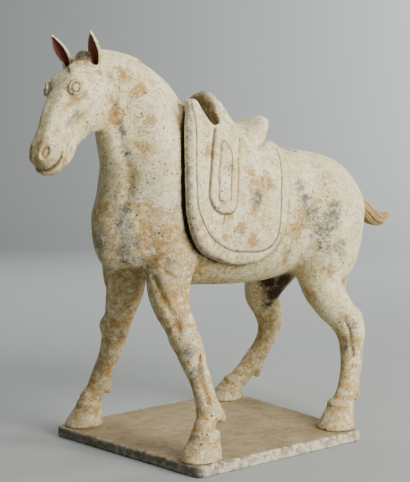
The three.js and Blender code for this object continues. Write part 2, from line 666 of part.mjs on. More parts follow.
/** Merges facets where the surface is nearly flat until only the wanted number is left. */
function thin({ points, triangles }, wanted) {
  const at = (v) => [points[3 * v], points[3 * v + 1], points[3 * v + 2]];
  const count = points.length / 3;
  const facets = [];
  const around = Array.from({ length: count }, () => new Set());
  const quadrics = Array.from({ length: count }, () => new Float64Array(10));
  const addPlane = (q, [a, b, c], d, weight) => {
    const terms = [a * a, a * b, a * c, a * d, b * b, b * c, b * d, c * c, c * d, d * d];
    terms.forEach((term, i) => {
      q[i] += term * weight;
    });
  };
  for (let t = 0; t < triangles.length; t += 3) {
    const tri = [triangles[t], triangles[t + 1], triangles[t + 2]];
    const [a, b, c] = tri.map(at);
    const normal = cross(sub(b, a), sub(c, a));
    const twice = Math.hypot(...normal);
    const id = facets.push(tri) - 1;
    for (const v of tri) {
      around[v].add(id);
    }
    if (twice > EPS) {
      const n = scaled(normal, 1 / twice);
      for (const v of tri) {
        addPlane(quadrics[v], n, -dot(n, a), twice);
      }
    }
  }
  const error = (q, [x, y, z]) => (
    q[0] * x * x + q[4] * y * y + q[7] * z * z + q[9]
    + 2 * (q[1] * x * y + q[2] * x * z + q[3] * x + q[5] * y * z + q[6] * y + q[8] * z));
  /** The point of least error, kept near the edge. */
  const best = (q, a, b) => {
    const det3 = (m) => dot(m[0], cross(m[1], m[2]));
    const rows = [[q[0], q[1], q[2]], [q[1], q[4], q[5]], [q[2], q[5], q[7]]];
    const rhs = [-q[3], -q[6], -q[8]];
    const whole = det3(rows);
    const scale = q[0] + q[4] + q[7];
    const middle = scaled(sum(a, b), 0.5);
    if (Math.abs(whole) > 1e-4 * scale ** 3) {
      const p = [0, 1, 2].map((c) => (
        det3(rows.map((row, r) => row.map((v, i) => (i === c ? rhs[r] : v)))) / whole));
      if (Math.hypot(...sub(p, middle)) < 1.5 * Math.hypot(...sub(a, b))) {
        return p;
      }
    }
    return [a, b, middle].reduce((kept, p) => (error(q, p) < error(q, kept) ? p : kept));
  };
  const version = new Int32Array(count);
  const queue = new Queue();
  const offer = (v, w) => {
    const q = quadrics[v].map((term, i) => term + quadrics[w][i]);
    const p = best(q, at(v), at(w));
    const edge = sub(at(v), at(w));
    queue.push([error(q, p) + 1e-5 * dot(edge, edge), v, w, version[v], version[w], p]);
  };
  const neighbours = (v) => {
    const out = new Set();
    for (const id of around[v]) {
      for (const w of facets[id]) {
        out.add(w);
      }
    }
    out.delete(v);
    return out;
  };
  for (let v = 0; v < count; v += 1) {
    for (const w of neighbours(v)) {
      if (v < w) {
        offer(v, w);
      }
    }
  }
  /** Whether moving v to p, with facets of w gone, turns a facet over or leaves a sliver. */
  const spoils = (v, w, p) => [...around[v]].some((id) => {
    const tri = facets[id];
    if (tri.includes(w)) {
      return false;
    }
    const before = tri.map(at);
    const after = tri.map((x, i) => (x === v ? p : before[i]));
    const n0 = cross(sub(before[1], before[0]), sub(before[2], before[0]));
    const n1 = cross(sub(after[1], after[0]), sub(after[2], after[0]));
    const longest = Math.max(...after.map((x, i) => Math.hypot(...sub(x, after[(i + 1) % 3]))));
    const size = Math.hypot(...n1);
    return dot(n0, n1) < 0.35 * Math.hypot(...n0) * size || size < 0.04 * longest * longest;
  });
  let left = facets.length;
  while (left > wanted && queue.heap.length) {
    const [, v, w, versionV, versionW, p] = queue.pop();
    if (version[v] === versionV && version[w] === versionW) {
      const nv = neighbours(v);
      const shared = [...neighbours(w)].filter((x) => nv.has(x));
      if (shared.length === 2 && !spoils(v, w, p) && !spoils(w, v, p)) {
        for (const id of [...around[w]]) {
          const tri = facets[id];
          if (tri.includes(v)) {
            tri.forEach((x) => around[x].delete(id));
            facets[id] = null;
            left -= 1;
          } else {
            tri[tri.indexOf(w)] = v;
            around[v].add(id);
          }
        }
        around[w].clear();
        version[w] = -1;
        quadrics[w].forEach((term, i) => {
          quadrics[v][i] += term;
        });
        points.set(p, 3 * v);
        version[v] += 1;
        for (const x of neighbours(v)) {
          offer(v, x);
        }
      }
    }
  }
  const renamed = new Map();
  const kept = [];
  const out = [];
  for (const tri of facets) {
    for (const v of tri || []) {
      if (!renamed.has(v)) {
        renamed.set(v, renamed.size);
        kept.push(...at(v));
      }
      out.push(renamed.get(v));
    }
  }
  return { points: Float32Array.from(kept), triangles: Uint32Array.from(out) };
}

// Pieces.
const wasm = await Module();
wasm.setup();

const toSolid = ({ points, triangles }) => new wasm.Manifold(
  new wasm.Mesh({ numProp: 3, vertProperties: points, triVerts: triangles }));

function toMesh(name, solid, colour, roughness) {
  const { vertProperties, triVerts } = solid.getMesh();
  const geometry = new THREE.BufferGeometry();
  geometry.setAttribute('position', new THREE.BufferAttribute(Float32Array.from(vertProperties), 3));
  geometry.setIndex(new THREE.BufferAttribute(Uint32Array.from(triVerts), 1));
  const flat = geometry.toNonIndexed();
  flat.computeVertexNormals();
  const material = new THREE.MeshStandardMaterial({ color: colour, roughness, metalness: 0 });
  const mesh = new THREE.Mesh(flat, material);
  mesh.name = name;
  return mesh;
}

/** Closed solid from rings of points [x, y, z], with the first and last ring filled in. */
function stack(rings) {
  const n = rings[0].length;
  const points = rings.flat(2);
  const triangles = [];
  for (let r = 0; r + 1 < rings.length; r += 1) {
    for (let i = 0; i < n; i += 1) {
      const a = r * n + i;
      const b = r * n + (i + 1) % n;
      triangles.push(a, b, b + n, a, b + n, a + n);
    }
  }
  const last = (rings.length - 1) * n;
  for (let i = 1; i + 1 < n; i += 1) {
    triangles.push(0, i + 1, i, last, last + i, last + i + 1);
  }
  return toSolid({ points: Float32Array.from(points), triangles: Uint32Array.from(triangles) });
}

/** Corners of the slab moved in by a distance, each rounded by an arc. */
function slabRing(inset, z) {
  const middle = scaled(sum(...SLAB_CORNERS.map(([x, y]) => [x, y, 0])), 1 / SLAB_CORNERS.length);
  const arc = 4;
  return SLAB_CORNERS.flatMap(([x, y], i) => {
    const before = SLAB_CORNERS[(i + 3) % 4];
    const after = SLAB_CORNERS[(i + 1) % 4];
    const toBefore = unit([before[0] - x, before[1] - y, 0]);
    const toAfter = unit([after[0] - x, after[1] - y, 0]);
    const inward = sum(toBefore, toAfter);
    const hub = sum([x, y, z], scaled(inward, SLAB_ROUND));
    return Array.from({ length: arc + 1 }, (_, step) => {
      const share = step / arc;
      const away = unit(sum(scaled(toAfter, -(1 - share)), scaled(toBefore, -share)));
      const p = sum(hub, scaled(away, SLAB_ROUND));
      const out = unit([p[0] - middle[0], p[1] - middle[1], 0]);
      return sum(p, scaled(out, -inset));
    });
  });
}

function baseSlab() {
  const rings = [
    slabRing(SLAB_EDGE, 0), slabRing(0, SLAB_EDGE), slabRing(0, SLAB_THICK - SLAB_EDGE),
    slabRing(SLAB_EDGE, SLAB_THICK),
  ];
  return stack(rings);
}

const horseClay = new Clay();
pressBody(horseClay);
pressHead(horseClay);
layCloth(horseClay);
laySaddle(horseClay);
const horseAxes = [
  planes(-338, 262, -338, HEAD_BACK_X), planes(-148, 152, 1, 0), planes(0, 524, HEAD_LOW_Z, 524),
];
const uncutHorse = toSolid(thin(surface(horseClay, horseAxes), FACET_BUDGET));

function boxSolid(low, high) {
  const ringAt = (z) => [
    [low[0], low[1], z], [high[0], low[1], z], [high[0], high[1], z], [low[0], high[1], z]];
  return stack([ringAt(low[2]), ringAt(high[2])]);
}
const horseSolid = uncutHorse.subtract(boxSolid([-400, -400, -50], [400, 400, SOLE_Z]));

const tailClay = new Clay();
tailClay.press(limb(TAIL), 2);
tailClay.lay([200, -60, 230], [400, 60, 380], (x, y, z, f) => (
  Math.max(f, TAIL_GAP - fieldAt(horseClay.steps, x, y, z))));
const tailAxes = [[200, 380], [-30, 30], [240, 350]].map(([from, to]) => planes(from, to, from, to));
const tailSolid = toSolid(thin(surface(tailClay, tailAxes), TAIL_FACETS));

const figure = new THREE.Group();
figure.name = 'horse_figure';
figure.add(
  toMesh('horse', horseSolid, 0xd9d0bb, 0.85),
  toMesh('tail', tailSolid, 0xa08c64, 0.9),
  toMesh('base_slab', baseSlab(), 0xa39273, 0.95),
);
export default figure;
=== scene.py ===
"""Saddled earthenware horse on its slab: the fine modelled surface, its slip, earth stains and wear.

Lengths in the form tables are millimetres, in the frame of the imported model: the horse faces -X, its left
side is -Y, and z = 0 is the underside of the slab. Everything becomes metres when a mesh is made.
"""
import math

import bpy
import numpy as np
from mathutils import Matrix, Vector


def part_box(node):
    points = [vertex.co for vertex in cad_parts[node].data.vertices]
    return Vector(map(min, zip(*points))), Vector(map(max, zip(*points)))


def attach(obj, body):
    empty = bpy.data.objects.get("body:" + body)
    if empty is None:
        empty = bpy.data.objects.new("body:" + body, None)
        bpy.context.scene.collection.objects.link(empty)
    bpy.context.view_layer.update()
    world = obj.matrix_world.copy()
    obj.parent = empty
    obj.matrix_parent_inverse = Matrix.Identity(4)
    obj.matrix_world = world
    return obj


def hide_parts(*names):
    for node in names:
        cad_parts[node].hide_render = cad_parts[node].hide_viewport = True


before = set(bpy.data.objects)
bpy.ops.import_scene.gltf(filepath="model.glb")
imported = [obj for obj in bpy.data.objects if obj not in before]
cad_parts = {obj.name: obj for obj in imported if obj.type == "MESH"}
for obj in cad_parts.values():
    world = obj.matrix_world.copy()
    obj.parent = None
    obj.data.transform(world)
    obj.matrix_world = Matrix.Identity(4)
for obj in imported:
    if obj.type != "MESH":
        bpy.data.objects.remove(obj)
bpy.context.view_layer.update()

MM = 0.001
SIDES = (-1, 1)  # its left, its right

# Sampling step of each form and the triangles kept of it; the room left round the CAD node's box.
BOX_PAD = 6
HORSE_FINE, SLAB_FINE, TAIL_FINE = (1.5, 192000), (1.5, 70000), (0.9, 24000)

# The head: turned to its left, pitched down, measured from a point on the poll.
HEAD_TURN = math.radians(18)
HEAD_PITCH = math.radians(56)
POLL = np.array([-200.0, -2, 478])

# Trunk. Rows: x, middle height, middle y, up, down, half width.
TRUNK = [
    [-112, 296, 0, 78, 56, 50], [-90, 300, 0, 92, 78, 60], [-60, 304, 0, 108, 98, 67],
    [-20, 304, 0, 103, 103, 71], [40, 300, 0, 90, 102, 73], [90, 297, 0, 81, 97, 72],
    [140, 298, 0, 77, 86, 70], [176, 296, 0, 72, 76, 65], [200, 289, 0, 62, 70, 57],
    [217, 280, 0, 53, 62, 44]]
# Neck. Rows: z, middle forward of the origin, middle y, front, back, half width.
NECK = [
    [300, 112, 0, 50, 66, 56], [340, 112, 0, 49, 68, 50], [375, 114, 0, 55, 70, 42],
    [405, 117, 0, 58, 64, 35], [430, 122, 0, 56, 60, 30], [452, 132, 0, 54, 54, 25],
    [466, 146, 0, 50, 48, 20], [476, 158, 0, 40, 40, 16]]
# Head. Rows: along the face from the poll, middle off its line, sideways, face side, jaw side, half width.
HEAD = [
    [6, -24, 0, 22, 30, 20], [24, -24, 0, 33, 36, 23], [44, -20, 0, 36, 42, 24], [66, -22, 0, 37, 36, 20],
    [90, -19, 0, 33, 28, 15.5], [110, -18, 0, 29, 24, 15.5], [125, -18, 0, 27, 21, 17.5],
    [136, -16, 0, 22, 17, 16]]
# Muscles of the trunk and neck: middle, radii, softness of the join. Pairs are given for the right side.
BREAST = ((-134, 0, 281), (41, 46, 45), 22)
BREAST_FRONT = ((-157, -3, 262), (22, 24, 34), 16)
BREAST_LEFT = ((-146, -28, 262), (14, 14, 28), 18)
SHOULDERS = ((-98, 34, 272), (44, 34, 52), 16)
HAUNCHES = ((180.5, 26, 302), (56, 38, 60), 20)
THIGHS = ((182, 38, 262), (42, 30, 56), 18)
# Rows: x, y, z, radius.
WINDPIPE = [[-155, -3, 392, 20], [-143, 0, 350, 22], [-139, 0, 315, 22], [-141, 0, 285, 20]]
NECK_MUSCLE = [[-118, 18, 420, 22], [-112, 26, 375, 30], [-108, 34, 330, 36], [-112, 34, 290, 34]]
# Lines on the head's right. Rows: along the face from the poll, out of the face, sideways, radius.
MOUTH = [
    [151, -12.5, 1, 1.5], [149.5, -13, 8, 1.5], [146, -13.5, 12.5, 1.5], [141, -14, 16, 1.4],
    [134.5, -14, 18, 1.3], [127.5, -13, 19, 1.6]]
LOWER_LIP = [[149, -17.5, 1, 2.8], [147, -18, 8, 2.8], [143, -18.5, 12.5, 2.6], [135, -19, 15.5, 2.2]]
CHIN_LINE = [[112, -19.4, 17, 0.8], [122, -20.4, 17, 0.8], [134, -21.6, 17, 0.8]]
BROW = [[52, 10, 8, 2], [45, 11.5, 10.5, 2], [41, 10, 15, 2], [40.5, 4.5, 20, 2], [45, -1, 22.5, 2]]
LID = [[47, 11.5, 12, 0.6], [43, 10.5, 16, 0.6], [43.5, 5.5, 22, 0.6]]
CHEEK_CREST = [[94, 2, 11, 2.4], [84, 0, 13.5, 3.0], [74, -5.5, 17.5, 3.2], [64, -11, 20.5, 3.0]]
NOSE_BRIDGE = [[66, 9, 9, 2.6], [84, 10.5, 6.5, 2.6], [104, 8.5, 5.5, 2.4], [122, 5.5, 7, 2.2]]
# Lower edge of the forelock. Rows: sideways, along the face.
FORELOCK_EDGE = [[-30, 2], [-22, 14], [-15, 31], [-10, 37], [-4, 31], [4, 24], [12, 16], [22, 6], [30, 0]]
# Legs, the left mirrored from the right. Rows: x, y, z, radius, from the body down to the pastern.
FORE_LEG = [
    [-102, 44, 250, 32], [-107, 44, 225, 28], [-107, 44, 200, 25], [-106, 53, 176, 20.5],
    [-104, 60, 164, 19], [-103, 66, 152, 18], [-101, 73, 140, 17.3], [-100, 78, 128, 16.2],
    [-99, 83, 116, 14.4], [-97, 89, 104, 13.2], [-97, 95, 92, 12.6], [-97, 100, 80, 13],
    [-97, 104, 68, 13.5], [-101, 107, 57, 12], [-106, 109, 50, 12.5]]
HIND_LEG = [
    [176, 30, 290, 58], [166, 40, 245, 50], [156, 50, 205, 34], [152, 57, 188, 29], [153, 63, 176, 26],
    [158, 69, 164, 24], [168, 73, 152, 22], [177, 76, 140, 21], [182, 78, 128, 19.5], [182.5, 80, 116, 17],
    [181, 82, 104, 15.2], [177.5, 86, 92, 14.3], [172.5, 90, 80, 14], [165, 94.5, 68, 14],
    [157, 98, 56, 13.5], [148, 101, 47, 13]]
# How far each foot strays from that stance, in x and outward; left (-1) and right.
FORE_STRAY = {-1: (0, -2), 1: (-10, 2)}
HIND_STRAY = {-1: (-9, 4), 1: (-3, -3)}
STRAY_FROM_Z, STRAY_FULL_Z = 125, 45
FORE_TUFT = [[-94, 105, 71, 9.5], [-85, 107, 62, 8.5], [-79, 108, 56, 5.5]]
HIND_TUFT = [[169, 93, 61, 9.5], [173, 96, 52, 8], [175, 97, 45, 5]]
# Hooves. Rows: z, middle forward of the origin, y of the right hoof, front, back, half width.
FORE_HOOF = [
    [11, 112, 112, 27.5, 22, 23.5], [16, 112, 112, 26, 22, 23], [30, 109, 111, 19.5, 20, 19],
    [42, 105, 110, 14, 16, 15]]
HIND_HOOF = [
    [11, -124, 110, 25.5, 22, 23], [16, -124, 110, 24.5, 22, 22.5], [30, -131, 107, 20, 20, 19.5],
    [41, -138, 104, 15.5, 16.5, 15.5]]
SOLE_Z = 14.0
# Knees, hocks and coronets stand out a little. Middle on the right, radii.
KNEE = ((-109, 71, 149), (14, 15, 15))
HOCK = ((189, 77, 144), (13, 11, 16))
FORE_CORONET = ((-106, 110, 42), (15, 14.5, 6))
HIND_CORONET = ((139, 103, 43), (15.5, 15, 6))
# Ears. Rows of the leaf: share of the length, front, back, half width. The hollow's rows have its way forward
# and sideways after the share.
EAR_LEAF = [
    [0, 4, 5.5, 5], [0.25, 5.4, 6, 7.2], [0.5, 5, 5.4, 7.4], [0.75, 3.6, 4, 4.8], [0.9, 2, 2.6, 2.4],
    [1, 1.1, 1.4, 1.1]]
EAR_HOLLOW = [
    [-0.05, 4.2, 0, 2.2, 2.4, 0.8], [0.25, 5.2, 0, 4.4, 5.6, 4.2], [0.5, 4.8, 0, 4, 5.2, 5.4],
    [0.75, 3.6, 0, 2.8, 3.6, 3.2], [0.9, 2.8, 0, 1.5, 2.4, 1.2]]
EAR_LIES = {-1: (0.75, 0.45, -0.12), 1: (0.6, 0.5, -0.3)}
MANE = [
    [-196, -3, 478, 5], [-170, 0, 480.5, 6], [-140, 0, 477, 6], [-104, 0, 463, 6], [-74, 0, 444, 6],
    [-56, 0, 424, 6]]
TAIL = [
    [240, 0, 316, 11.5], [265, 0, 304, 12.5], [293, 0, 290, 13], [315, 0, 277, 12.5], [335, 0, 273, 9.5],
    [350, 0, 279, 4.5]]
TAIL_GAP = 0.9

# Saddle cloth, drawn over swept x (x carried back along its slant down the barrel) and z. Along its front and
# lower front edge it stands off the body, with a dark gap under it. CLOTH_SCALE is true length
# over swept length.
CLOTH_THICK, CLOTH_THIN, CLOTH_SCALE = 12, 5, 0.86
CLOTH_GAP, CLOTH_GAP_DEEP, CLOTH_BEVEL = 6, 15, 2.6
LIFT_TO_S, LIFT_OVER_S = 35, 50
CLOTH_SWEEP, CLOTH_TAPER, SPINE_ROUND = 0.873, 0.00093, 8
FLAP_PROUD = 1.7
# Depth and half width of the incised lines; the flap's is deeper towards its front.
BORDER_GROOVE, STRAP_GROOVE, FLAP_GROOVE_WIDE = (1.5, 0.95), (1.2, 0.9), 1.3
FLAP_GROOVE_DEEP, FLAP_GROOVE_DEEPER = 1.1, 1.2
CLOTH_TOP_Z = 433
CLOTH_EDGE = [
    [-51, 480], [-53, 424], [-57, 398], [-58, 370], [-58, 330], [-57, 305], [-54, 287], [-47, 268],
    [-36, 253.5], [-21, 242.5], [-2, 234.5], [23, 229.5], [48, 229.5], [71, 233.5], [90, 242], [105, 254],
    [114, 268], [119, 285], [122, 303], [123, 321], [123.5, 340], [122, 358], [117, 371], [109, 380],
    [102, 390], [98, 480]]
FLAP_EDGE = [
    [-16, 420], [-18, 395], [-21, 378], [-23, 363], [-24.5, 347], [-26, 331], [-27, 317], [-24.5, 310],
    [-19, 301.5], [-10, 296], [1, 294.5], [14, 296], [21, 301], [24, 311], [25, 330], [26, 345], [25, 361],
    [25, 420]]
# Incised lines on the cloth, as open lines over swept x and z. The flap's follows its edge below the saddle.
BORDER_LINE = [
    [-49, 431], [-48, 409], [-48, 382], [-48.5, 359], [-48, 336], [-47, 314], [-44, 300], [-37, 286],
    [-26, 271], [-9, 258], [14, 249], [41, 246], [66, 245.5], [84, 250], [97, 262], [103, 279], [105, 299],
    [106, 324], [107, 349], [106, 364], [102, 375]]
FLAP_LINE = FLAP_EDGE[1:13] + [[24, 312]] + FLAP_EDGE[14:17]
STRAP_LINES = [
    [[-9, 375], [-9.5, 364], [-12, 347], [-12, 330], [-12, 311]],
    [[12, 368], [13, 354], [11, 335], [10, 311]],
    [[-9, 375], [-5, 382], [2, 379], [12, 368]],
    [[1, 295], [-1, 290], [-3, 283]]]
# Saddle tree. Rows: x, middle height, middle y, up, down, half width. Its ends bow forward down the sides,
# the pommel less than the cantle, and the cantle leans back. Its hollow: middle, radii, axis.
SADDLE = [
    [-26, 372, 0, 69, 20, 55], [-19, 372, 0, 74, 20, 57], [-9, 372, 0, 72, 20, 59], [2, 372, 0, 57, 20, 62],
    [18, 372, 0, 40, 20, 65], [38, 372, 0, 33, 20, 66], [56, 372, 0, 38, 20, 65], [71, 372, 0, 46, 20, 61],
    [82, 372, 0, 46, 20, 56]]
SADDLE_ROUND, SADDLE_LOW_Z = 1.8, 371
POMMEL_BOW, CANTLE_BOW, BOW_FROM_X, BOW_TO_X = 0.004, 0.011, -15, 45
CANTLE_LEAN, LEAN_Z = 0.4, 410
POMMEL_HOLLOW = ((-42, 0, 416), (17, 62, 56), (1, 0, -0.24))

# Grooves of the modelling tool on the left side, mirrored to the right. Points x, y, z.
JUGULAR = [[-165, -24, 400], [-160, -28, 365], [-157, -33, 332], [-163, -33, 308]]
SHOULDER_FOLD = [[-131, -62, 232], [-123, -68, 225], [-111, -72, 219], [-96, -71, 222]]
FORE_FOLD = [[-135, -50, 221], [-129, -57, 200], [-123, -65, 184], [-119, -71, 172], [-117, -76, 160]]
FORE_TENDON = [[-97, -85, 141], [-101, -94, 122], [-104, -100, 106], [-103, -107, 90], [-102, -112, 78]]
HIND_TENDON = [
    [142, -82, 168], [155, -87, 152], [166, -90, 132], [169, -92, 112], [166, -97, 92], [158, -104, 74]]
MANE_LINE = [
    [-176, 11, 482], [-150, 12, 477], [-126, 13, 470], [-105, 13, 459], [-85, 13, 446], [-62, 12, 430]]
# Each groove's line, radius and softness.
GROOVES = ((JUGULAR, 1.6, 12), (SHOULDER_FOLD, 0.8, 4), (FORE_FOLD, 1.0, 8), (FORE_TENDON, 0.7, 6),
           (HIND_TENDON, 0.2, 6))

# Slab. Corners seen from above; thickness, rounding of the corners.
SLAB_CORNERS = [[-154, 135], [-137, -134], [131, -145], [162, 141]]
SLAB_THICK, SLAB_ROUND = 13.7, 5
# Unevenness from hand work. Rows: height, size and seed of its lumps.
HAND_WORK = ((0.45, 34, 1), (0.28, 13, 2), (0.16, 5.5, 3))
SLAB_WANDER = ((0.5, 30, 11), (0.35, 9, 12))
CHIP_DEPTH = 0.28


# Vectors and noise.
def unit(v):
    return np.asarray(v, float) / np.linalg.norm(v)


def lattice(i, j, k, seed):
    """Repeatable value from -1 to 1 at each whole-number place."""
    h = (i * 374761393 + j * 668265263 + k * 1440662683 + seed * 1274126177) & 0xFFFFFFFF
    h = ((h ^ (h >> 13)) * 1274126177) & 0xFFFFFFFF
    return ((h ^ (h >> 16)) & 0xFFFF) / 32767.5 - 1


def lumps(p, size, seed):
    """Smooth noise from about -1 to 1, with lumps of about that size."""
    q = p / size
    base = np.floor(q).astype(np.int64)
    t = q - base
    t = t * t * (3 - 2 * t)
    total = np.zeros(len(p))
    for corner in np.ndindex(2, 2, 2):
        weight = np.prod([t[:, c] if d else 1 - t[:, c] for c, d in enumerate(corner)], axis=0)
        total += weight * lattice(*(base + corner).T, seed)
    return total


def uneven(p, rows):
    return sum(height * lumps(p, size, seed) for height, size, seed in rows)


def rise(v, low, high):
    """0 below low, 1 above high, smooth between."""
    t = np.clip((v - low) / (high - low), 0, 1)
    return t * t * (3 - 2 * t)


def through(rows, place):
    """Smooth curve through rows [at, value, value, ...], read at each place."""
    table = np.asarray(rows, float)
    x, y = table[:, 0], table[:, 1:]
    a = np.clip(place, x[0], x[-1])
    i = np.clip(np.searchsorted(x, a, side="right") - 1, 0, len(x) - 2)
    gaps = np.diff(x)[:, None]
    slopes = np.diff(y, axis=0) / gaps
    tangents = np.empty_like(y)
    tangents[1:-1] = (slopes[:-1] * gaps[1:] + slopes[1:] * gaps[:-1]) / (gaps[1:] + gaps[:-1])
    tangents[0], tangents[-1] = slopes[0], slopes[-1]
    span = (x[i + 1] - x[i])[:, None]
    t = (a - x[i])[:, None] / span
    t2, t3 = t * t, t * t * t
    return ((2 * t3 - 3 * t2 + 1) * y[i] + (t3 - 2 * t2 + t) * span * tangents[i]
            + (3 * t2 - 2 * t3) * y[i + 1] + (t3 - t2) * span * tangents[i + 1])


# Fields: distance to a form, negative inside.
def rounded(offsets, radii, power=2.0):
    """Distance-like value of a rounded solid from its offsets and radii along three axes."""
    k = [np.abs(o) / r for o, r in zip(offsets, radii)]
    level = (sum(v ** power for v in k) + 1e-12) ** (1 / power)
    steep = np.sqrt(sum((v ** (power - 1) / r) ** 2 for v, r in zip(k, radii))) * level ** (1 - power)
    return (level - 1) / np.maximum(steep, 1 / np.maximum(np.maximum(radii[0], radii[1]), radii[2]))


class Sweep:
    """Sections square to a straight axis. Rows: along, up, sideways, up radius, down radius, side radius."""

    def __init__(self, rows, origin=(0, 0, 0), axis=(1, 0, 0), up=(0, 0, 1), power=2.0, cap=1.0):
        self.rows = np.asarray(rows, float)
        self.origin = np.asarray(origin, float)
        self.axis = unit(axis)
        self.up = unit(up - self.axis * np.dot(up, self.axis))
        self.side = np.cross(self.up, self.axis)
        self.power, self.cap = power, cap

    def reach(self):
        corners = [self.origin + self.axis * a + self.up * (u + du) + self.side * (s + ds)
                   for a, u, s, above, below, wide in self.rows
                   for du in (above, -below) for ds in (wide, -wide)]
        end = max(self.rows[0, 3:].max(), self.rows[-1, 3:].max()) * self.cap
        return np.min(corners, axis=0) - end, np.max(corners, axis=0) + end

    def __call__(self, p):
        q = p - self.origin
        a = q @ self.axis
        v = through(self.rows, a)
        u = q @ self.up - v[:, 0]
        s = q @ self.side - v[:, 1]
        ru = np.where(u > 0, v[:, 2], v[:, 3])
        past = a - np.clip(a, self.rows[0, 0], self.rows[-1, 0])
        return rounded((u, s, past), (ru, v[:, 4], np.minimum(ru, v[:, 4]) * self.cap), self.power)


class Ball:
    """Ellipsoid with its own axis and up direction; radii along, across, up."""

    def __init__(self, middle, radii, axis=(1, 0, 0), up=(0, 0, 1)):
        self.middle, self.radii = np.asarray(middle, float), np.asarray(radii, float)
        along = unit(axis)
        lift = unit(np.asarray(up, float) - along * np.dot(up, along))
        self.ways = np.array([along, np.cross(lift, along), lift])

    def reach(self):
        half = np.abs(self.ways.T) @ self.radii
        return self.middle - half, self.middle + half

    def __call__(self, p):
        return rounded(((p - self.middle) @ self.ways.T).T, self.radii)


class Limb:
    """Round limb through rows [x, y, z, radius], smoothed between them."""

    def __init__(self, rows, fine=4):
        rows = np.asarray(rows, float)
        far = np.r_[0, np.cumsum(np.linalg.norm(np.diff(rows[:, :3], axis=0), axis=1))]
        places = np.linspace(0, far[-1], (len(rows) - 1) * fine + 1)
        self.line = through(np.c_[far, rows], places)

    def reach(self):
        thick = self.line[:, 3:]
        return (self.line[:, :3] - thick).min(0), (self.line[:, :3] + thick).max(0)

    def __call__(self, p):
        best = np.full(len(p), 1e9)
        for a, b in zip(self.line[:-1], self.line[1:]):
            way = b[:3] - a[:3]
            t = np.clip((p - a[:3]) @ way / (way @ way), 0, 1)
            off = np.linalg.norm(p - a[:3] - t[:, None] * way, axis=1) - a[3] - (b[3] - a[3]) * t
            best = np.minimum(best, off)
        return best


def soft_max(a, b, soft):
    return np.maximum(a, b) + np.clip(soft - np.abs(a - b), 0, None) ** 2 / (4 * soft)


def soft_min(a, b, soft):
    return -soft_max(-a, -b, soft)


class Clay:
    """A pile of clay: shapes pressed on, cut away or laid over in turn."""

    REACH = 22  # fields stay true this far outside their surface

    def __init__(self):
        self.steps = []

    def lay(self, low, high, join):
        self.steps.append((np.asarray(low, float), np.asarray(high, float), join))

    def press(self, shape, soft):
        low, high = shape.reach()
        pad = soft + self.REACH
        self.lay(low - pad, high + pad, lambda p, f: soft_min(f, shape(p), soft))

    def carve(self, shape, soft):
        low, high = shape.reach()
        pad = soft + 2
        self.lay(low - pad, high + pad, lambda p, f: soft_max(f, -shape(p), soft))

    def __call__(self, p):
        f = np.full(len(p), 60.0)
        for low, high, join in self.steps:
            near = ((p > low) & (p < high)).all(1)
            if near.any():
                f[near] = join(p[near], f[near])
        return f


# The head's own directions: down along the face, out of the face, to its right.
level = np.array([-math.cos(HEAD_TURN), -math.sin(HEAD_TURN), 0])
DOWN = level * math.cos(HEAD_PITCH) - np.array([0, 0, math.sin(HEAD_PITCH)])
RIGHT = np.array([-math.sin(HEAD_TURN), math.cos(HEAD_TURN), 0])
FACE = np.cross(RIGHT, DOWN)


def way(a, v, w):
    return DOWN * a + FACE * v + RIGHT * w


def place(a, v, w):
    return POLL + way(a, v, w)


def mirrored(rows, side):
    """Rows that start with x, y, z, drawn on the right (y > 0), moved to the given side."""
    rows = np.array(rows, float)
    rows[:, 1] *= side
    return rows


def strayed(rows, stray, side):
    """Rows of the right leg moved to where the foot of the given side stands."""
    rows = np.array(rows, float)
    share = np.clip((STRAY_FROM_Z - rows[:, 2]) / (STRAY_FROM_Z - STRAY_FULL_Z), 0, 1)
    rows[:, 0] += stray[side][0] * share
    rows[:, 1] = (rows[:, 1] + stray[side][1] * share) * side
    return rows


def hoof_rows(rows, stray, side):
    moved = strayed([[-r[1], r[2], r[0]] for r in rows], stray, side)
    return [[r[0], -m[0], m[1], *r[3:]] for r, m in zip(rows, moved)]


def press_muscle(clay, muscle, side=1):
    (x, y, z), radii, soft = muscle
    clay.press(Ball((x, y * side, z), radii), soft)


def score(clay, line, radius, soft):
    """A groove along a line drawn on the left side, and its like on the right."""
    for side in SIDES:
        rows = np.c_[np.array(line, float), np.full(len(line), radius)]
        rows[:, 1] *= -side
        clay.carve(Limb(rows), soft)


def press_body(clay):
    clay.press(Sweep(TRUNK, power=2.12, cap=0.72), 4)
    clay.press(Sweep(NECK, axis=(0, 0, 1), up=(-1, 0, 0), cap=0.5), 24)
    press_muscle(clay, BREAST)
    clay.press(Limb(WINDPIPE), 14)
    for side in SIDES:
        clay.press(Limb(mirrored(NECK_MUSCLE, side)), 16)
    for pair in (SHOULDERS, HAUNCHES, THIGHS):
        for side in SIDES:
            press_muscle(clay, pair, side)
    legs = ((FORE_LEG, FORE_TUFT, FORE_HOOF, FORE_STRAY, KNEE, FORE_CORONET),
            (HIND_LEG, HIND_TUFT, HIND_HOOF, HIND_STRAY, HOCK, HIND_CORONET))
    for leg, tuft, hoof, stray, joint, coronet in legs:
        for side in SIDES:
            clay.press(Limb(strayed(leg, stray, side)), 15)
            (middle, radii), (crown, crown_radii) = joint, coronet
            clay.press(Ball(strayed([middle], stray, side)[0], radii), 6)
            foot = hoof_rows(hoof, stray, side)
            clay.press(Sweep(foot, axis=(0, 0, 1), up=(-1, 0, 0), power=2.2, cap=0.25), 4)
            clay.press(Ball(strayed([crown], stray, side)[0], crown_radii), 7)
            clay.press(Limb(strayed(tuft, stray, side)), 7)
    press_muscle(clay, BREAST_FRONT)
    press_muscle(clay, BREAST_LEFT)
    for groove in GROOVES:
        score(clay, *groove)


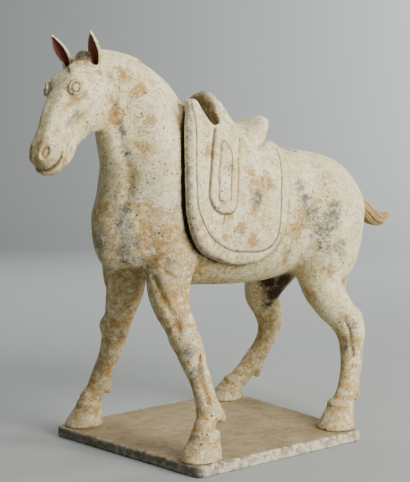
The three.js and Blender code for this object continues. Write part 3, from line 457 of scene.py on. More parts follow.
def ring(middle, axis, long, short, thick):
    """Rows of a ring, standing square to the given axis: long radius down the face, short radius across."""
    across = unit(np.cross(axis, DOWN))
    along = np.cross(axis, across)
    turns = np.linspace(0, 2 * math.pi, 17)
    return [[*(middle + along * long * math.cos(t) + across * short * math.sin(t)), thick] for t in turns]


def eye(side):
    """Middle of the eye and the way it looks."""
    return place(53.5, 9, side * 21.2 + 1.7), unit(way(0.25, 0.66, side * 0.70))


def head_line(rows, side, shift=0):
    """A thin limb along a line of the head, carried to the given side and shifted to its right."""
    return Limb([[*place(a, v, side * w + shift), r] for a, v, w, r in rows])


def face_ball(a, v, w, radii):
    return Ball(place(a, v, w), radii, DOWN, FACE)


def eye_ring(side, ahead, long, short, thick):
    """A ring round the eye, that far ahead of its middle."""
    middle, gaze = eye(side)
    return Limb(ring(middle + gaze * ahead, gaze, long, short, thick), 1)


def press_eye(clay, side):
    middle, gaze = eye(side)
    clay.press(face_ball(53, 4.5, side * 18 + 1.5, (9, 8, 8)), 4)
    clay.press(eye_ring(side, 0, 7.9, 6.5, 1.4), 1.4)
    clay.carve(eye_ring(side, 0.9, 5.8, 4.5, 0.7), 0.8)
    long = np.cross(gaze, unit(np.cross(gaze, DOWN)))
    clay.press(Ball(middle - gaze * 1.6, (5.0, 3.8, 3.6), long, gaze), 0.8)
    clay.carve(eye_ring(side, 0.2, 10.4, 8.8, 0.8), 2.0)
    clay.press(head_line(BROW, side, 0.5), 6)
    clay.carve(head_line(LID, side, 1), 1.8)


def press_muzzle(clay, side):
    clay.press(face_ball(127, -8, side * 9 - 1, (13.5, 9, 12)), 7)
    flare = unit(way(0.35, 0.74, side * 0.56))
    nostril = place(136.5, 2.6 - 0.6 * side, side * 9.8)
    long = np.cross(flare, unit(np.cross(flare, DOWN)))
    clay.press(Ball(nostril - flare * 3.5, (12, 9.0, 4.6), long, flare), 4)
    clay.press(Limb(ring(nostril, flare, 9.4, 5.7, 1.2), 1), 2.0)
    clay.carve(Ball(nostril + flare * 1.8, (8.2, 4.6, 3.2), long, flare), 1.0)
    clay.press(Ball(nostril - flare * 0.2 - long * 0.6, (4.8, 2.0, 2.0), long, flare), 0.9)
    clay.press(head_line(LOWER_LIP, side), 4)
    clay.carve(head_line(MOUTH, side), 0.9)
    clay.carve(face_ball(127, -13, side * 18.5, (2.8, 2.6, 2.8)), 1.5)
    clay.carve(head_line(CHIN_LINE, side), 2.5)


def ear_ends(side):
    return place(3, -12.5 + 2 * side, side * 19.5 + 5), place(-8, 30, 28 * side)


def ear_part(side, rows):
    """Sections along the ear. Rows: share of its length, forward, sideways, front, back, half width."""
    root, tip = ear_ends(side)
    rows = [[at * np.linalg.norm(tip - root), *rest] for at, *rest in rows]
    return Sweep(rows, origin=root, axis=tip - root, up=way(*EAR_LIES[side]))


def press_ear(clay, side):
    root, tip = ear_ends(side)
    clay.press(Ball(root - unit(tip - root) * 3, (9, 9, 8), tip - root, FACE), 7)
    clay.press(ear_part(side, [[at, 0, 0, *radii] for at, *radii in EAR_LEAF]), 3)
    clay.carve(ear_part(side, EAR_HOLLOW), 1)


def comb_forelock(p, f):
    """The forelock lies over the brow as a thin cap with a notched lower edge, parted in strands."""
    q = p - POLL
    a, v, w = q @ DOWN, q @ FACE, q @ RIGHT
    edge = through(FORELOCK_EDGE, w)[:, 0]
    cap = rise(edge - a, -0.8, 1.6) * rise(v, -14, -4) * rise(a, -12, 0)
    strands = 0.35 * np.cos(w * 1.9 + a * 0.05)
    return f - cap * (1.7 + strands) * (1 - 0.6 * rise(w, 0, 14))


def press_head(clay):
    clay.press(Sweep(HEAD, origin=POLL, axis=DOWN, up=FACE, power=2.25, cap=0.8), 16)
    for side in SIDES:
        clay.press(face_ball(40, -34, side * 12, (34, 13, 30)), 9)
        clay.press(face_ball(43, 2, side * 11.5, (14, 8, 10.5)), 8)
        clay.press(head_line(CHEEK_CREST, side), 10)
        clay.press(head_line(NOSE_BRIDGE, side), 8)
        press_eye(clay, side)
        press_muzzle(clay, side)
    clay.press(face_ball(114, -32, 0, (13, 10, 10.5)), 8)
    clay.press(Limb(MANE), 6)
    clay.lay([-260, -60, 420], [-160, 50, 520], comb_forelock)
    for side in SIDES:
        press_ear(clay, side)
    score(clay, MANE_LINE, 1.0, 1.2)


def smooth_line(corners, closed=True, fine=4):
    """Points of the smooth curve through the corners."""
    p = np.array(corners, float)
    n = len(p)
    pick = (lambda i: p[i % n]) if closed else (lambda i: p[min(max(i, 0), n - 1)])
    out = []
    for i in range(n if closed else n - 1):
        a, b, c, d = (pick(i + step) for step in (-1, 0, 1, 2))
        for t in np.arange(fine) / fine:
            out.append(0.5 * (2 * b + (c - a) * t + (2 * a - 5 * b + 4 * c - d) * t ** 2
                              + (3 * b - a - 3 * c + d) * t ** 3))
    return np.array(out if closed else out + [p[-1]])


def line_distance(points, s, z, closed=False):
    """Distance to a line of points; inside a closed one it is negative."""
    best = np.full(s.shape, 1e18)
    inside = np.zeros(s.shape, bool)
    ends = np.roll(points, -1, 0) if closed else points[1:]
    for (ax, az), (bx, bz) in zip(points, ends):
        ex, ez = bx - ax, bz - az
        t = np.clip(((s - ax) * ex + (z - az) * ez) / (ex * ex + ez * ez), 0, 1)
        best = np.minimum(best, (s - ax - ex * t) ** 2 + (z - az - ez * t) ** 2)
        if closed and ez:
            inside ^= ((az > z) != (bz > z)) & (s < ax + (z - az) * ex / ez)
    best = np.sqrt(best)
    return np.where(inside, -best, best)


def swept(p, f):
    """Swept x; the height f above the body is taken off, so the cloth's edge stands square to the body."""
    wide = np.hypot(p[:, 1], SPINE_ROUND) - SPINE_ROUND
    wide = wide - np.clip(f, 0, 20) * np.clip(np.abs(p[:, 1]) / 60, 0, 1)
    return (p[:, 0] + CLOTH_SWEEP * wide) / (1 - CLOTH_TAPER * wide)


cloth_edge = smooth_line(CLOTH_EDGE)
flap_edge = smooth_line(FLAP_EDGE)
border_line = smooth_line(BORDER_LINE, closed=False)
flap_line = smooth_line(FLAP_LINE, closed=False)
strap_lines = [smooth_line(line, closed=False) for line in STRAP_LINES]


def cloth_inset(s, z):
    """Distance out of the cloth's outline, negative on the cloth."""
    return line_distance(cloth_edge, s, z, closed=True) * CLOTH_SCALE


def lifted(s):
    """1 where the cloth stands off the body at its front, 0 where it lies on it."""
    return rise(LIFT_TO_S - s, 0, LIFT_OVER_S)


def incised(line, s, z, half_width):
    """1 along a line on the cloth, falling away beside it."""
    return np.exp(-(line_distance(line, s, z) * CLOTH_SCALE / half_width) ** 2)


def lay_cloth(p, f):
    out = f.copy()
    near = f < CLOTH_THICK + CLOTH_GAP + 10
    p, f = p[near], f[near]
    s, z = swept(p, f), p[:, 2]
    inset = cloth_inset(s, z)
    lift = lifted(s)
    thin = CLOTH_THIN * np.clip((s - 50) / 60, 0, 1) * np.clip((z - 330) / 40, 0, 1)
    outer = f - CLOTH_THICK - CLOTH_GAP * lift + thin
    deep, wide = BORDER_GROOVE
    outer = outer + deep * incised(border_line, s, z, wide)
    flap = line_distance(flap_edge, s, z, closed=True) * CLOTH_SCALE
    outer = outer - FLAP_PROUD * rise(-flap, -0.9, 1.1)
    deep = FLAP_GROOVE_DEEP + FLAP_GROOVE_DEEPER * rise(-4 - s, 0, 16)
    outer = outer + deep * incised(flap_line, s, z, FLAP_GROOVE_WIDE)
    deep, wide = STRAP_GROOVE
    for line in strap_lines:
        outer = outer + deep * incised(line, s, z, wide)
    bevel = 0.6 + CLOTH_BEVEL * lift
    edge = soft_max(soft_max(outer, inset, 1.5), (outer + inset) * math.sqrt(0.5) + bevel, 1.5)
    hollow = Ball(*POMMEL_HOLLOW)(p)
    sheet = soft_max(soft_max(edge, z - CLOTH_TOP_Z, 3), -hollow, 2)
    gap = np.maximum(-(inset + CLOTH_GAP_DEEP * lift), f - CLOTH_GAP * lift)
    sheet = soft_max(sheet, -gap, 1.2)
    out[near] = soft_min(f, sheet, 1.2)
    return out


def bowed(p):
    """Points moved back by the bow and the lean of the saddle tree."""
    back = rise(p[:, 0], BOW_FROM_X, BOW_TO_X)
    bow = POMMEL_BOW + (CANTLE_BOW - POMMEL_BOW) * back
    moved = p.copy()
    moved[:, 0] += bow * p[:, 1] ** 2 - CANTLE_LEAN * back * (p[:, 2] - LEAN_Z)
    return moved


def lay_saddle(clay):
    tree = Sweep(SADDLE, power=SADDLE_ROUND, cap=0.06)
    hollow = Ball(*POMMEL_HOLLOW)

    def join(p, f):
        q = bowed(p)
        solid = soft_max(tree(q), SADDLE_LOW_Z - p[:, 2], 4)
        return soft_min(f, soft_max(solid, -hollow(p), 7), 1.2)

    clay.lay([-110, -100, 350], [120, 100, 470], join)


def flat_sole(p, f):
    return soft_max(f, SOLE_Z - p[:, 2], 0.8)


body_clay = Clay()
press_body(body_clay)
press_head(body_clay)
cloth_step = len(body_clay.steps)
body_clay.lay([-150, -105, 200], [165, 105, 455], lay_cloth)
lay_saddle(body_clay)
body_clay.lay([-200, -160, 0], [220, 160, 40], flat_sole)


# The tail: a short docked tail, its hair combed into strands that turn up at the tip.
def comb_tail(p, f):
    t = through([[x, z] for x, _, z, _ in TAIL], p[:, 0])[:, 0]
    turn = np.arctan2(p[:, 1], p[:, 2] - t)
    groove = np.abs(np.sin(turn * 3.5 + p[:, 0] * 0.035))
    depth = 1.5 * rise(p[:, 0], 250, 275) * (1 - 0.4 * rise(p[:, 0], 330, 350))
    return f + depth * (1 - groove) ** 2 + 0.25 * np.sin(turn * 17 + p[:, 0] * 0.1)


def clear_of_body(p, f):
    return np.maximum(f, TAIL_GAP - body_clay(p))


tail_clay = Clay()
tail_clay.press(Limb(TAIL), 2)
tail_clay.lay([200, -60, 230], [400, 60, 380], comb_tail)
tail_clay.lay([200, -60, 230], [400, 60, 380], clear_of_body)


def slab_field(p, f):
    """A thin slab, cut by hand: its edges wander a little and its top is uneven."""
    corners = np.array(SLAB_CORNERS, float)
    flat = np.full(len(p), -1e9)
    wander = uneven(p, SLAB_WANDER) - 0.6
    for a, b in zip(corners, np.roll(corners, -1, 0)):
        out = unit([-(b - a)[1], (b - a)[0]])
        if out @ (a - corners.mean(0)) < 0:
            out = -out
        flat = soft_max(flat, (p[:, :2] - a) @ out, 2 * SLAB_ROUND)
    top = p[:, 2] - SLAB_THICK
    across = np.c_[p[:, 0] * 0.16 - p[:, 1] * 0.05, p[:, 1] + p[:, 0] * 0.3, p[:, 2]]
    brushed = 0.16 * lumps(across, 2.6, 14) * rise(p[:, 2], 8, 12) - 0.35 * rise(lumps(p, 16, 13), 0.2, 0.9)
    crack = 0.9 * np.exp(-(lumps(p * (1, 1, 0.4), 26, 15) / 0.05) ** 2) * rise(flat, -7, -1)
    f = soft_max(flat - wander + crack, top - brushed + 0.15, 3.2)
    return soft_max(f, -p[:, 2], 1.6)


slab_clay = Clay()
slab_clay.lay([-400, -400, -50], [400, 400, 60], slab_field)


# Meshes.
def sample(clay, low, high, step, coarse=4):
    """The field on a grid; only points near the surface are worked out finely."""
    axes = [np.arange(lo, hi + step, step) for lo, hi in zip(low, high)]
    wide = [a[::coarse] if (len(a) - 1) % coarse == 0 else np.r_[a[::coarse], a[-1]] for a in axes]
    grid = np.stack([g.ravel() for g in np.meshgrid(*wide, indexing="ij")], 1)
    field = clay(grid).reshape([len(w) for w in wide]).astype(np.float32)
    for d in range(3):
        at = np.interp(axes[d], wide[d], np.arange(len(wide[d])))
        i = np.minimum(at.astype(int), len(wide[d]) - 2)
        shape = [1, 1, 1]
        shape[d] = -1
        t = (at - i).astype(np.float32).reshape(shape)
        first = np.take(field, i, axis=d)
        field = first + (np.take(field, i + 1, axis=d) - first) * t
    near = np.argwhere(np.abs(field) < step * coarse * 0.9)
    field[tuple(near.T)] = clay(np.stack([axes[d][near[:, d]] for d in range(3)], 1))
    return field, axes


def gathered(index, values, count):
    """The three-part values added up at each index."""
    return np.stack([np.bincount(index, weights=values[:, c], minlength=count) for c in range(3)], 1)


def surface(field, axes):
    """Closed surface where the field is 0: a point in each crossed cell, a square round each crossed edge."""
    inside = field < 0
    sizes = field.shape
    strides = np.array([sizes[1] * sizes[2], sizes[2], 1])
    cells, crossings = [], []
    for d in range(3):
        here = [slice(None)] * 3
        ahead = [slice(None)] * 3
        here[d], ahead[d] = slice(0, -1), slice(1, None)
        at = np.argwhere(inside[tuple(here)] != inside[tuple(ahead)])
        e, g = (d + 1) % 3, (d + 2) % 3
        at = at[(at[:, e] > 0) & (at[:, g] > 0) & (at[:, e] < sizes[e] - 1) & (at[:, g] < sizes[g] - 1)]
        far = at.copy()
        far[:, d] += 1
        f0, f1 = field[tuple(at.T)], field[tuple(far.T)]
        p = np.stack([axes[c][at[:, c]] for c in range(3)], 1)
        p[:, d] += f0 / (f0 - f1) * (axes[d][far[:, d]] - axes[d][at[:, d]])
        index = at @ strides
        corners = [index - strides[e] - strides[g], index - strides[g], index, index - strides[e]]
        quad = np.stack(corners, 1)
        quad[f0 >= 0] = quad[f0 >= 0][:, ::-1]
        cells.append(quad)
        crossings.append(p)
    cells, crossings = np.concatenate(cells), np.concatenate(crossings)
    _, quads = np.unique(cells.ravel(), return_inverse=True)
    count = np.bincount(quads)
    points = gathered(quads, np.repeat(crossings, 4, axis=0), len(count)) / count[:, None]
    return points, quads.reshape(-1, 4)


def normals_of(points, quads):
    n = np.cross(points[quads[:, 2]] - points[quads[:, 0]], points[quads[:, 3]] - points[quads[:, 1]])
    total = gathered(quads.ravel(), np.repeat(n, 4, axis=0), len(points))
    return total / np.maximum(np.linalg.norm(total, axis=1, keepdims=True), 1e-9)


def new_object(name, points, faces, material):
    """A smoothly shaded object from points in metres."""
    mesh = bpy.data.meshes.new(name)
    mesh.from_pydata(points, [], faces)
    shade_smooth(mesh)
    mesh.materials.append(material)
    return linked(bpy.data.objects.new(name, mesh))


def shade_smooth(mesh):
    for polygon in mesh.polygons:
        polygon.use_smooth = True


def linked(item):
    bpy.context.scene.collection.objects.link(item)
    return item


def decimated(piece, triangles):
    """The piece thinned to that many triangles, most where it is flattest."""
    mesh = piece.data
    thin = piece.modifiers.new("thin", "DECIMATE")
    thin.ratio = min(1.0, triangles / sum(len(p.vertices) - 2 for p in mesh.polygons))
    depsgraph = bpy.context.evaluated_depsgraph_get()
    result = bpy.data.meshes.new_from_object(piece.evaluated_get(depsgraph))
    result.name = mesh.name + "_fine"
    piece.modifiers.clear()
    piece.data = result
    bpy.data.meshes.remove(mesh)
    shade_smooth(result)
    return piece


def read(items, name, width, kind=float):
    out = np.empty(len(items) * width, kind)
    items.foreach_get(name, out)
    return out.reshape(-1, width)


def points_of(piece):
    return read(piece.data.vertices, "co", 3) / MM


def bulge(piece, rounds):
    """How far each point stands out of its surroundings, in millimetres; negative in a hollow."""
    a, b = read(piece.data.edges, "vertices", 2, np.int32).T
    here, there = np.r_[a, b], np.r_[b, a]
    start = points_of(piece)
    p = start.copy()
    count = np.maximum(np.bincount(here, minlength=len(p)), 1)[:, None]
    for _ in range(rounds):
        p = gathered(here, p[there], len(p)) / count
    return ((start - p) * read(piece.data.vertices, "normal", 3)).sum(1)


def paint(piece, **coats):
    """Stores each coat, from 0 to 1 at every point, for the finish to read."""
    for name, values in coats.items():
        layer = piece.data.attributes.new(name, "FLOAT", "POINT")
        layer.data.foreach_set("value", np.clip(values, 0, 1).astype(np.float32))


def most(*values):
    return np.maximum.reduce(values)


def patches(p, spots):
    """How deep each point lies in the nearest of the spots [x, y, z, radius]."""
    best = np.zeros(len(p))
    for *middle, radius in spots:
        best = np.maximum(best, 1 - np.linalg.norm(p - middle, axis=1) / radius)
    return best


# Looks. Colours are given as they show on a screen, 0 to 255.
def tint(r, g, b):
    return (*(((c / 255 + 0.055) / 1.055) ** 2.4 if c > 10 else c / 255 / 12.92 for c in (r, g, b)), 1.0)


class Level:
    """What a shader node gives; sums and products of it become nodes too."""

    def __init__(self, finish, socket):
        self.finish, self.socket = finish, socket

    def __add__(self, other):
        return self.finish.calculate("ADD", self, other)

    def __mul__(self, other):
        return self.finish.calculate("MULTIPLY", self, other)


class Finish:
    """One clay finish, built from shader nodes over object coordinates."""

    def __init__(self, name):
        self.material = bpy.data.materials.new(name)
        self.material.use_nodes = True
        self.tree = self.material.node_tree
        self.shader = self.tree.nodes["Principled BSDF"]
        self.where = self.out(self.add("TexCoord"), "Object")

    def fill(self, node, inputs):
        for name, value in inputs.items():
            if isinstance(value, Level):
                self.tree.links.new(value.socket, node.inputs[name])
            else:
                node.inputs[name].default_value = value

    def add(self, kind, **inputs):
        node = self.tree.nodes.new("ShaderNode" + kind)
        self.fill(node, inputs)
        return node

    def out(self, node, outlet):
        return Level(self, node.outputs[outlet])

    def noise(self, size, seed, detail, rough, stretch=None):
        """Cloudy noise with lumps of that many millimetres."""
        where = self.where
        if stretch:
            where = self.out(self.add("Mapping", Vector=where, Scale=stretch), "Vector")
        node = self.add("TexNoise")
        node.noise_dimensions = "4D"
        self.fill(node, dict(Vector=where, W=seed, Scale=1 / (size * MM), Detail=detail, Roughness=rough))
        return self.out(node, "Fac")

    def spread(self, size, seed, detail, rough, half=0.09):
        """Noise drawn out from 0 to 1 over that much on each side of its middle."""
        return self.band(self.noise(size, seed, detail, rough), 0.5 - half, 0.5 + half)

    def pits(self, size, seed, small, large, share):
        """1 in round pits, one to a cell of that size, in that share of the cells."""
        moved = self.add("VectorMath")
        self.fill(moved, {0: self.where, 1: (seed, seed * 0.7, seed * 0.3)})
        cells = self.add("TexVoronoi", Vector=self.out(moved, "Vector"), Scale=1 / (size * MM))
        pick = self.add("SeparateColor", Color=self.out(cells, "Color"))
        radius = self.out(pick, "Green") * (large - small) + small
        hole = self.band(radius + self.out(cells, "Distance") * -1.0, 0.0, 0.05)
        return hole * self.band(self.out(pick, "Red"), 1 - share, 1.001 - share)

    def painted(self, *names):
        nodes = [self.add("Attribute") for _ in names]
        for node, name in zip(nodes, names):
            node.attribute_name = name
        return [self.out(node, "Fac") for node in nodes]

    def calculate(self, operation, a, b):
        node = self.add("Math")
        node.operation = operation
        self.fill(node, {0: a, 1: b})
        return self.out(node, "Value")

    def most(self, a, b):
        return self.calculate("MAXIMUM", a, b)

    def band(self, value, low, high):
        """0 below low, 1 above high, smooth between."""
        node = self.add("MapRange", **{"Value": value, "From Min": low, "From Max": high})
        node.interpolation_type = "SMOOTHSTEP"
        return self.out(node, "Result")

    def coats(self, colour, *rows):
        """The colour under further coats in turn. Rows: tone, share, where it lies."""
        for tone, share, where in rows:
            node = self.add("Mix")
            node.data_type = "RGBA"
            self.fill(node, {0: where * share, 6: colour, 7: tone})
            colour = self.out(node, 2)
        return colour

    def done(self, colour, height, depth, roughness):
        """Links the colour, a height of that many millimetres, and the roughness."""
        bump = self.out(self.add("Bump", Strength=1.0, Distance=depth * MM, Height=height), "Normal")
        self.fill(self.shader, {"Base Color": colour, "Roughness": roughness, "Normal": bump,
                                "Specular IOR Level": 0.25})
        return self.material


CREAM, CHALK, BUFF = tint(209, 196, 146), tint(224, 216, 180), tint(184, 161, 104)
OCHRE, DEEP_OCHRE = tint(166, 125, 62), tint(122, 86, 40)
# The worn grey also paints shade on the chest and a cheek, and the darkest brown also paints shade by the
# cloth's edges.
WEAR_AND_SHADE_GREY, SLATE = tint(130, 129, 116), tint(78, 79, 76)
PIT_BROWN, RUST, SOOT_AND_SHADE = tint(66, 54, 42), tint(104, 50, 42), tint(62, 43, 28)
SLAB_DARK, SLAB_LIGHT, SLAB_RIM = tint(132, 115, 82), tint(154, 138, 103), tint(208, 201, 178)
SLAB_STREAK, SLAB_EARTH, SLAB_SPECK = tint(182, 165, 130), tint(112, 93, 63), tint(108, 90, 62)
FLANK_GREY, FLANK_PALE, FLANK_DARK = tint(132, 130, 112), tint(204, 198, 174), tint(84, 83, 74)
TAIL_DARK, TAIL_LIGHT, TAIL_RIDGE, TAIL_GROOVE = (tint(122, 98, 54), tint(164, 136, 80), tint(190, 168, 118),
                                                  tint(88, 70, 46))


def slip_finish():
    """Cream slip over grey clay: warm earth, ochre blots, grey patches of wear and of painted shade, pits,
    speckles, and dark painted shade by the cloth's edges.
    """
    look = Finish("slip")
    earth, worn, rust, soot = look.painted("earth", "worn", "rust", "soot")
    scored, hollow, proud = look.painted("scored", "hollow", "proud")
    fine = look.noise(3.0, 2.0, 6, 0.72)
    grain = look.spread(2.3, 9.0, 4, 0.7, 0.10)
    mottle = look.spread(4.5, 10.0, 6, 0.75)
    veil = look.spread(13, 3.0, 8, 0.75, 0.10) + mottle * 0.35 + earth * 0.35
    dusty = mottle * 0.6 + grain * 0.4
    blot = look.spread(8, 4.0, 9, 0.75) * 0.50 + grain * 0.18 + earth * 0.50
    blots = look.band(blot, 0.60, 0.68)
    wear_and_shade_level = look.spread(6, 5.0, 9, 0.78) * 0.46 + grain * 0.24 + (worn * 0.50 + proud * 0.05)
    wear_and_shade_patches = look.band(wear_and_shade_level, 0.69, 0.75)
    holes = look.most(look.pits(6, 0.31, 0.12, 0.24, 0.34), look.pits(12, 0.77, 0.06, 0.13, 0.7))
    specks = look.most(look.pits(2.8, 0.13, 0.18, 0.38, 0.34), look.pits(4.4, 0.57, 0.14, 0.30, 0.40))
    colour = look.coats(
        CREAM, (CHALK, 1, look.spread(30, 1.0, 6, 0.65, 0.08)),
        (BUFF, 0.60, look.band(veil, 0.60, 1.15)),
        (BUFF, 0.55, look.band(dusty, 0.58, 0.85)),
        (CHALK, 0.60, look.band(dusty, 0.42, 0.15)),
        (OCHRE, 0.70, blots),
        (DEEP_OCHRE, 0.50, look.band(blot, 0.92, 1.04)),
        # Grey of wear, which on the chest and a cheek is also painted shade.
        (WEAR_AND_SHADE_GREY, 0.78, wear_and_shade_patches),
        (SLATE, 0.75, look.band(wear_and_shade_level, 0.88, 0.98)),
        (CHALK, 0.45, look.band(proud * grain, 0.2, 0.8)),
        (DEEP_OCHRE, 0.60, hollow),
        # Incised lines, mouth and eye lines, and a painted shadow line along the cloth's rear edge, all
        # painted dark.
        (SOOT_AND_SHADE, 0.70, scored),
        (RUST, 1, look.band(rust + fine * 0.3, 0.4, 0.75)),
        # Soot, and dark painted shade under the cloth's lifted front edge.
        (SOOT_AND_SHADE, 1, look.band(soot + (mottle + grain) * 0.16, 0.40, 1.10)),
        (DEEP_OCHRE, 0.55, specks),
        (PIT_BROWN, 0.9, holes))
    height = (fine * 0.45 + grain * 0.12 + look.noise(1.0, 8.0, 3, 0.6) * 0.16 + mottle * 0.10
              + blots * 0.22 + wear_and_shade_patches * -0.22 + holes * -1.1 + specks * -0.3)
    return look.done(colour, height, 0.9, fine * 0.25 + 0.68)


def slab_finish():
    """Buff clay, brushed on top, with whitish worn edges and grey sides; painted shade darkens the sides and
    dims their rims towards the ends.
    """
    look = Finish("slab_clay")
    edge, side, grey = look.painted("edge", "side", "worn")
    streaks = look.noise(5, 1.0, 5, 0.65, stretch=(0.16, 1.0, 1.0))
    fine = look.noise(2.0, 3.0, 6, 0.75)
    top = look.coats(
        SLAB_DARK, (SLAB_LIGHT, 1, look.band(look.noise(45, 2.0, 5, 0.6), 0.35, 0.66)),
        (SLAB_STREAK, 0.45, look.band(streaks, 0.45, 0.75)),
        (SLAB_EARTH, 0.45, look.band(look.noise(10, 4.0, 8, 0.75), 0.50, 0.60)),
        (SLAB_SPECK, 0.40, look.band(fine, 0.50, 0.60)))
    # Random dark patches on the sides, more of them where shade is painted towards the ends; the rims are
    # less white there.
    shade = look.noise(12, 7.0, 8, 0.75) + grey * 0.30
    flank = look.coats(
        FLANK_GREY, (FLANK_PALE, 1, look.band(look.noise(16, 5.0, 7, 0.7), 0.40, 0.62)),
        (BUFF, 0.6, look.band(look.noise(9, 6.0, 7, 0.7), 0.50, 0.60)),
        (FLANK_DARK, 0.85, look.band(shade, 0.54, 0.66)))
    rim = look.band(edge * 0.4 + look.spread(7, 8.0, 6, 0.7, 0.08) * 0.5, 0.50, 0.75)
    holes = look.pits(7, 0.41, 0.05, 0.15, 0.4)
    colour = look.coats(
        top, (flank, 1, side), (SLAB_RIM, 1, rim * (grey * -0.62 + 0.8)), (PIT_BROWN, 0.7, holes))
    return look.done(colour, streaks * 0.4 + fine * 0.55 + holes * -0.8, 1.0, fine * 0.2 + 0.75)


def tail_finish():
    """Bare tan clay, darker between the strands."""
    look = Finish("tail_clay")
    hollow, proud = look.painted("hollow", "proud")
    fine = look.noise(2.2, 2.0, 5, 0.7)
    colour = look.coats(
        TAIL_DARK, (TAIL_LIGHT, 1, look.band(look.noise(14, 1.0, 6, 0.65), 0.36, 0.64)),
        (TAIL_RIDGE, 0.6, proud), (TAIL_GROOVE, 0.75, hollow))
    return look.done(colour, fine * 0.5 + look.noise(1.0, 3.0, 3, 0.6) * 0.3, 0.7, fine * 0.2 + 0.7)


# Where the slip is stained, worn or darkened, and where shade is painted on it. Spots x, y, z, radius.
OCHRE_SPOTS = [
    [-144, -56, 299, 15], [-135, -62, 295, 15], [-122, -70, 291, 13], [-126, -67, 267, 11],
    [-167, -20, 413, 17], [-175, -22, 427, 13], [-137, -29, 440, 13], [-133, -42, 405, 11],
    [-154, -22, 457, 14], [-140, -40, 374, 13], [53, -80, 256, 20], [76, -61, 241, 16], [81, -52, 227, 12],
    [58, -84, 299, 12], [97, -72, 285, 22], [84, -69, 267, 20], [64, -81, 264, 16], [139, -79, 214, 14],
    [164, -83, 200, 12], [-70, -68, 366, 18], [-48, -72, 372, 12], [-43, -79, 350, 12], [-55, -81, 305, 12],
    [-45, -80, 289, 10], [-50, -75, 262, 13], [-7, -78, 345, 12], [4, -84, 325, 20], [20, -82, 330, 18],
    [-2, -84, 300, 12], [-25, -80, 274, 12], [-2, -79, 259, 12], [-110, -71, 219, 14], [-125, -60, 200, 15],
    [-110, -77, 172, 17], [-107, -100, 100, 17], [-112, -115, 60, 16], [155, -92, 154, 16],
    [168, -95, 120, 14], [140, -108, 60, 14], [128, -55, 180, 16], [-104, 60, 150, 30], [-106, 90, 90, 26],
    [-200, -10, 484, 26]]
# Grey wear; the large spots on the chest are painted shade as well as wear.
WEAR_AND_SHADE_SPOTS = [
    [-166, -32, 302, 15], [-168, -35, 284, 18], [-161, -36, 262, 20], [-152, -30, 246, 20],
    [-140, -38, 236, 17], [-177, -6, 264, 17], [-160, -24, 392, 12], [-158, -28, 366, 10],
    [-135, 36, 232, 14], [98, -72, 308, 15], [112, -71, 292, 22], [126, -72, 266, 22], [138, -80, 278, 20],
    [147, -81, 296, 16], [132, -76, 248, 18], [149, -86, 243, 16], [92, -68, 325, 14], [168, -93, 140, 12],
    [168, -89, 112, 16], [-112, -88, 136, 12], [-108, -95, 112, 12], [-130, -28, 330, 15],
    [-120, -62, 240, 12], [0, -84, 312, 14], [200, -30, 310, 20], [-104, 52, 130, 14], [72, -22, 398, 13],
    [66, -34, 388, 11], [-14, -5, 443, 12], [-12, -22, 436, 12], [120, -20, 372, 20], [-205, -12, 486, 20]]
# Darker patches under the belly, in front of and between the hind legs.
DARK_SPOTS = [
    [150, 36, 176, 34], [152, 20, 190, 30], [132, 30, 190, 24], [150, 52, 158, 16], [140, -20, 205, 24]]
# Painted shade: a grey patch in the hollow of the left cheek, below the eye.
# Along the face from the poll, out of it, to its right; radius.
CHEEK_SHADE_SPOT = (76, -6, -18, 9)
BROWN_SPOT = [-167, -22, 412, 7]


def in_ears(p):
    """1 on the walls of the ears' hollows."""
    best = np.zeros(len(p))
    for side in SIDES:
        root, tip = ear_ends(side)
        near = np.linalg.norm(p - (root + tip) / 2, axis=1) < np.linalg.norm(tip - root)
        best[near] = np.maximum(best[near], rise(1.0 - ear_part(side, EAR_HOLLOW)(p[near]), 0, 0.8))
    return best


def face_lines(p):
    """1 in the mouth and round the eyes, which are painted dark."""
    best = np.zeros(len(p))
    near = (p - POLL) @ DOWN > 30
    near &= p[:, 0] < -190
    q = p[near]
    for side in SIDES:
        for line, share in ((head_line(MOUTH, side), 1.0), (eye_ring(side, 0.4, 10, 8.4, 0.6), 0.7),
                            (eye_ring(side, 0.9, 5.8, 4.5, 0.6), 0.9)):
            best[near] = np.maximum(best[near], rise(1.5 - line(q), 0, 1.4) * share)
    return best


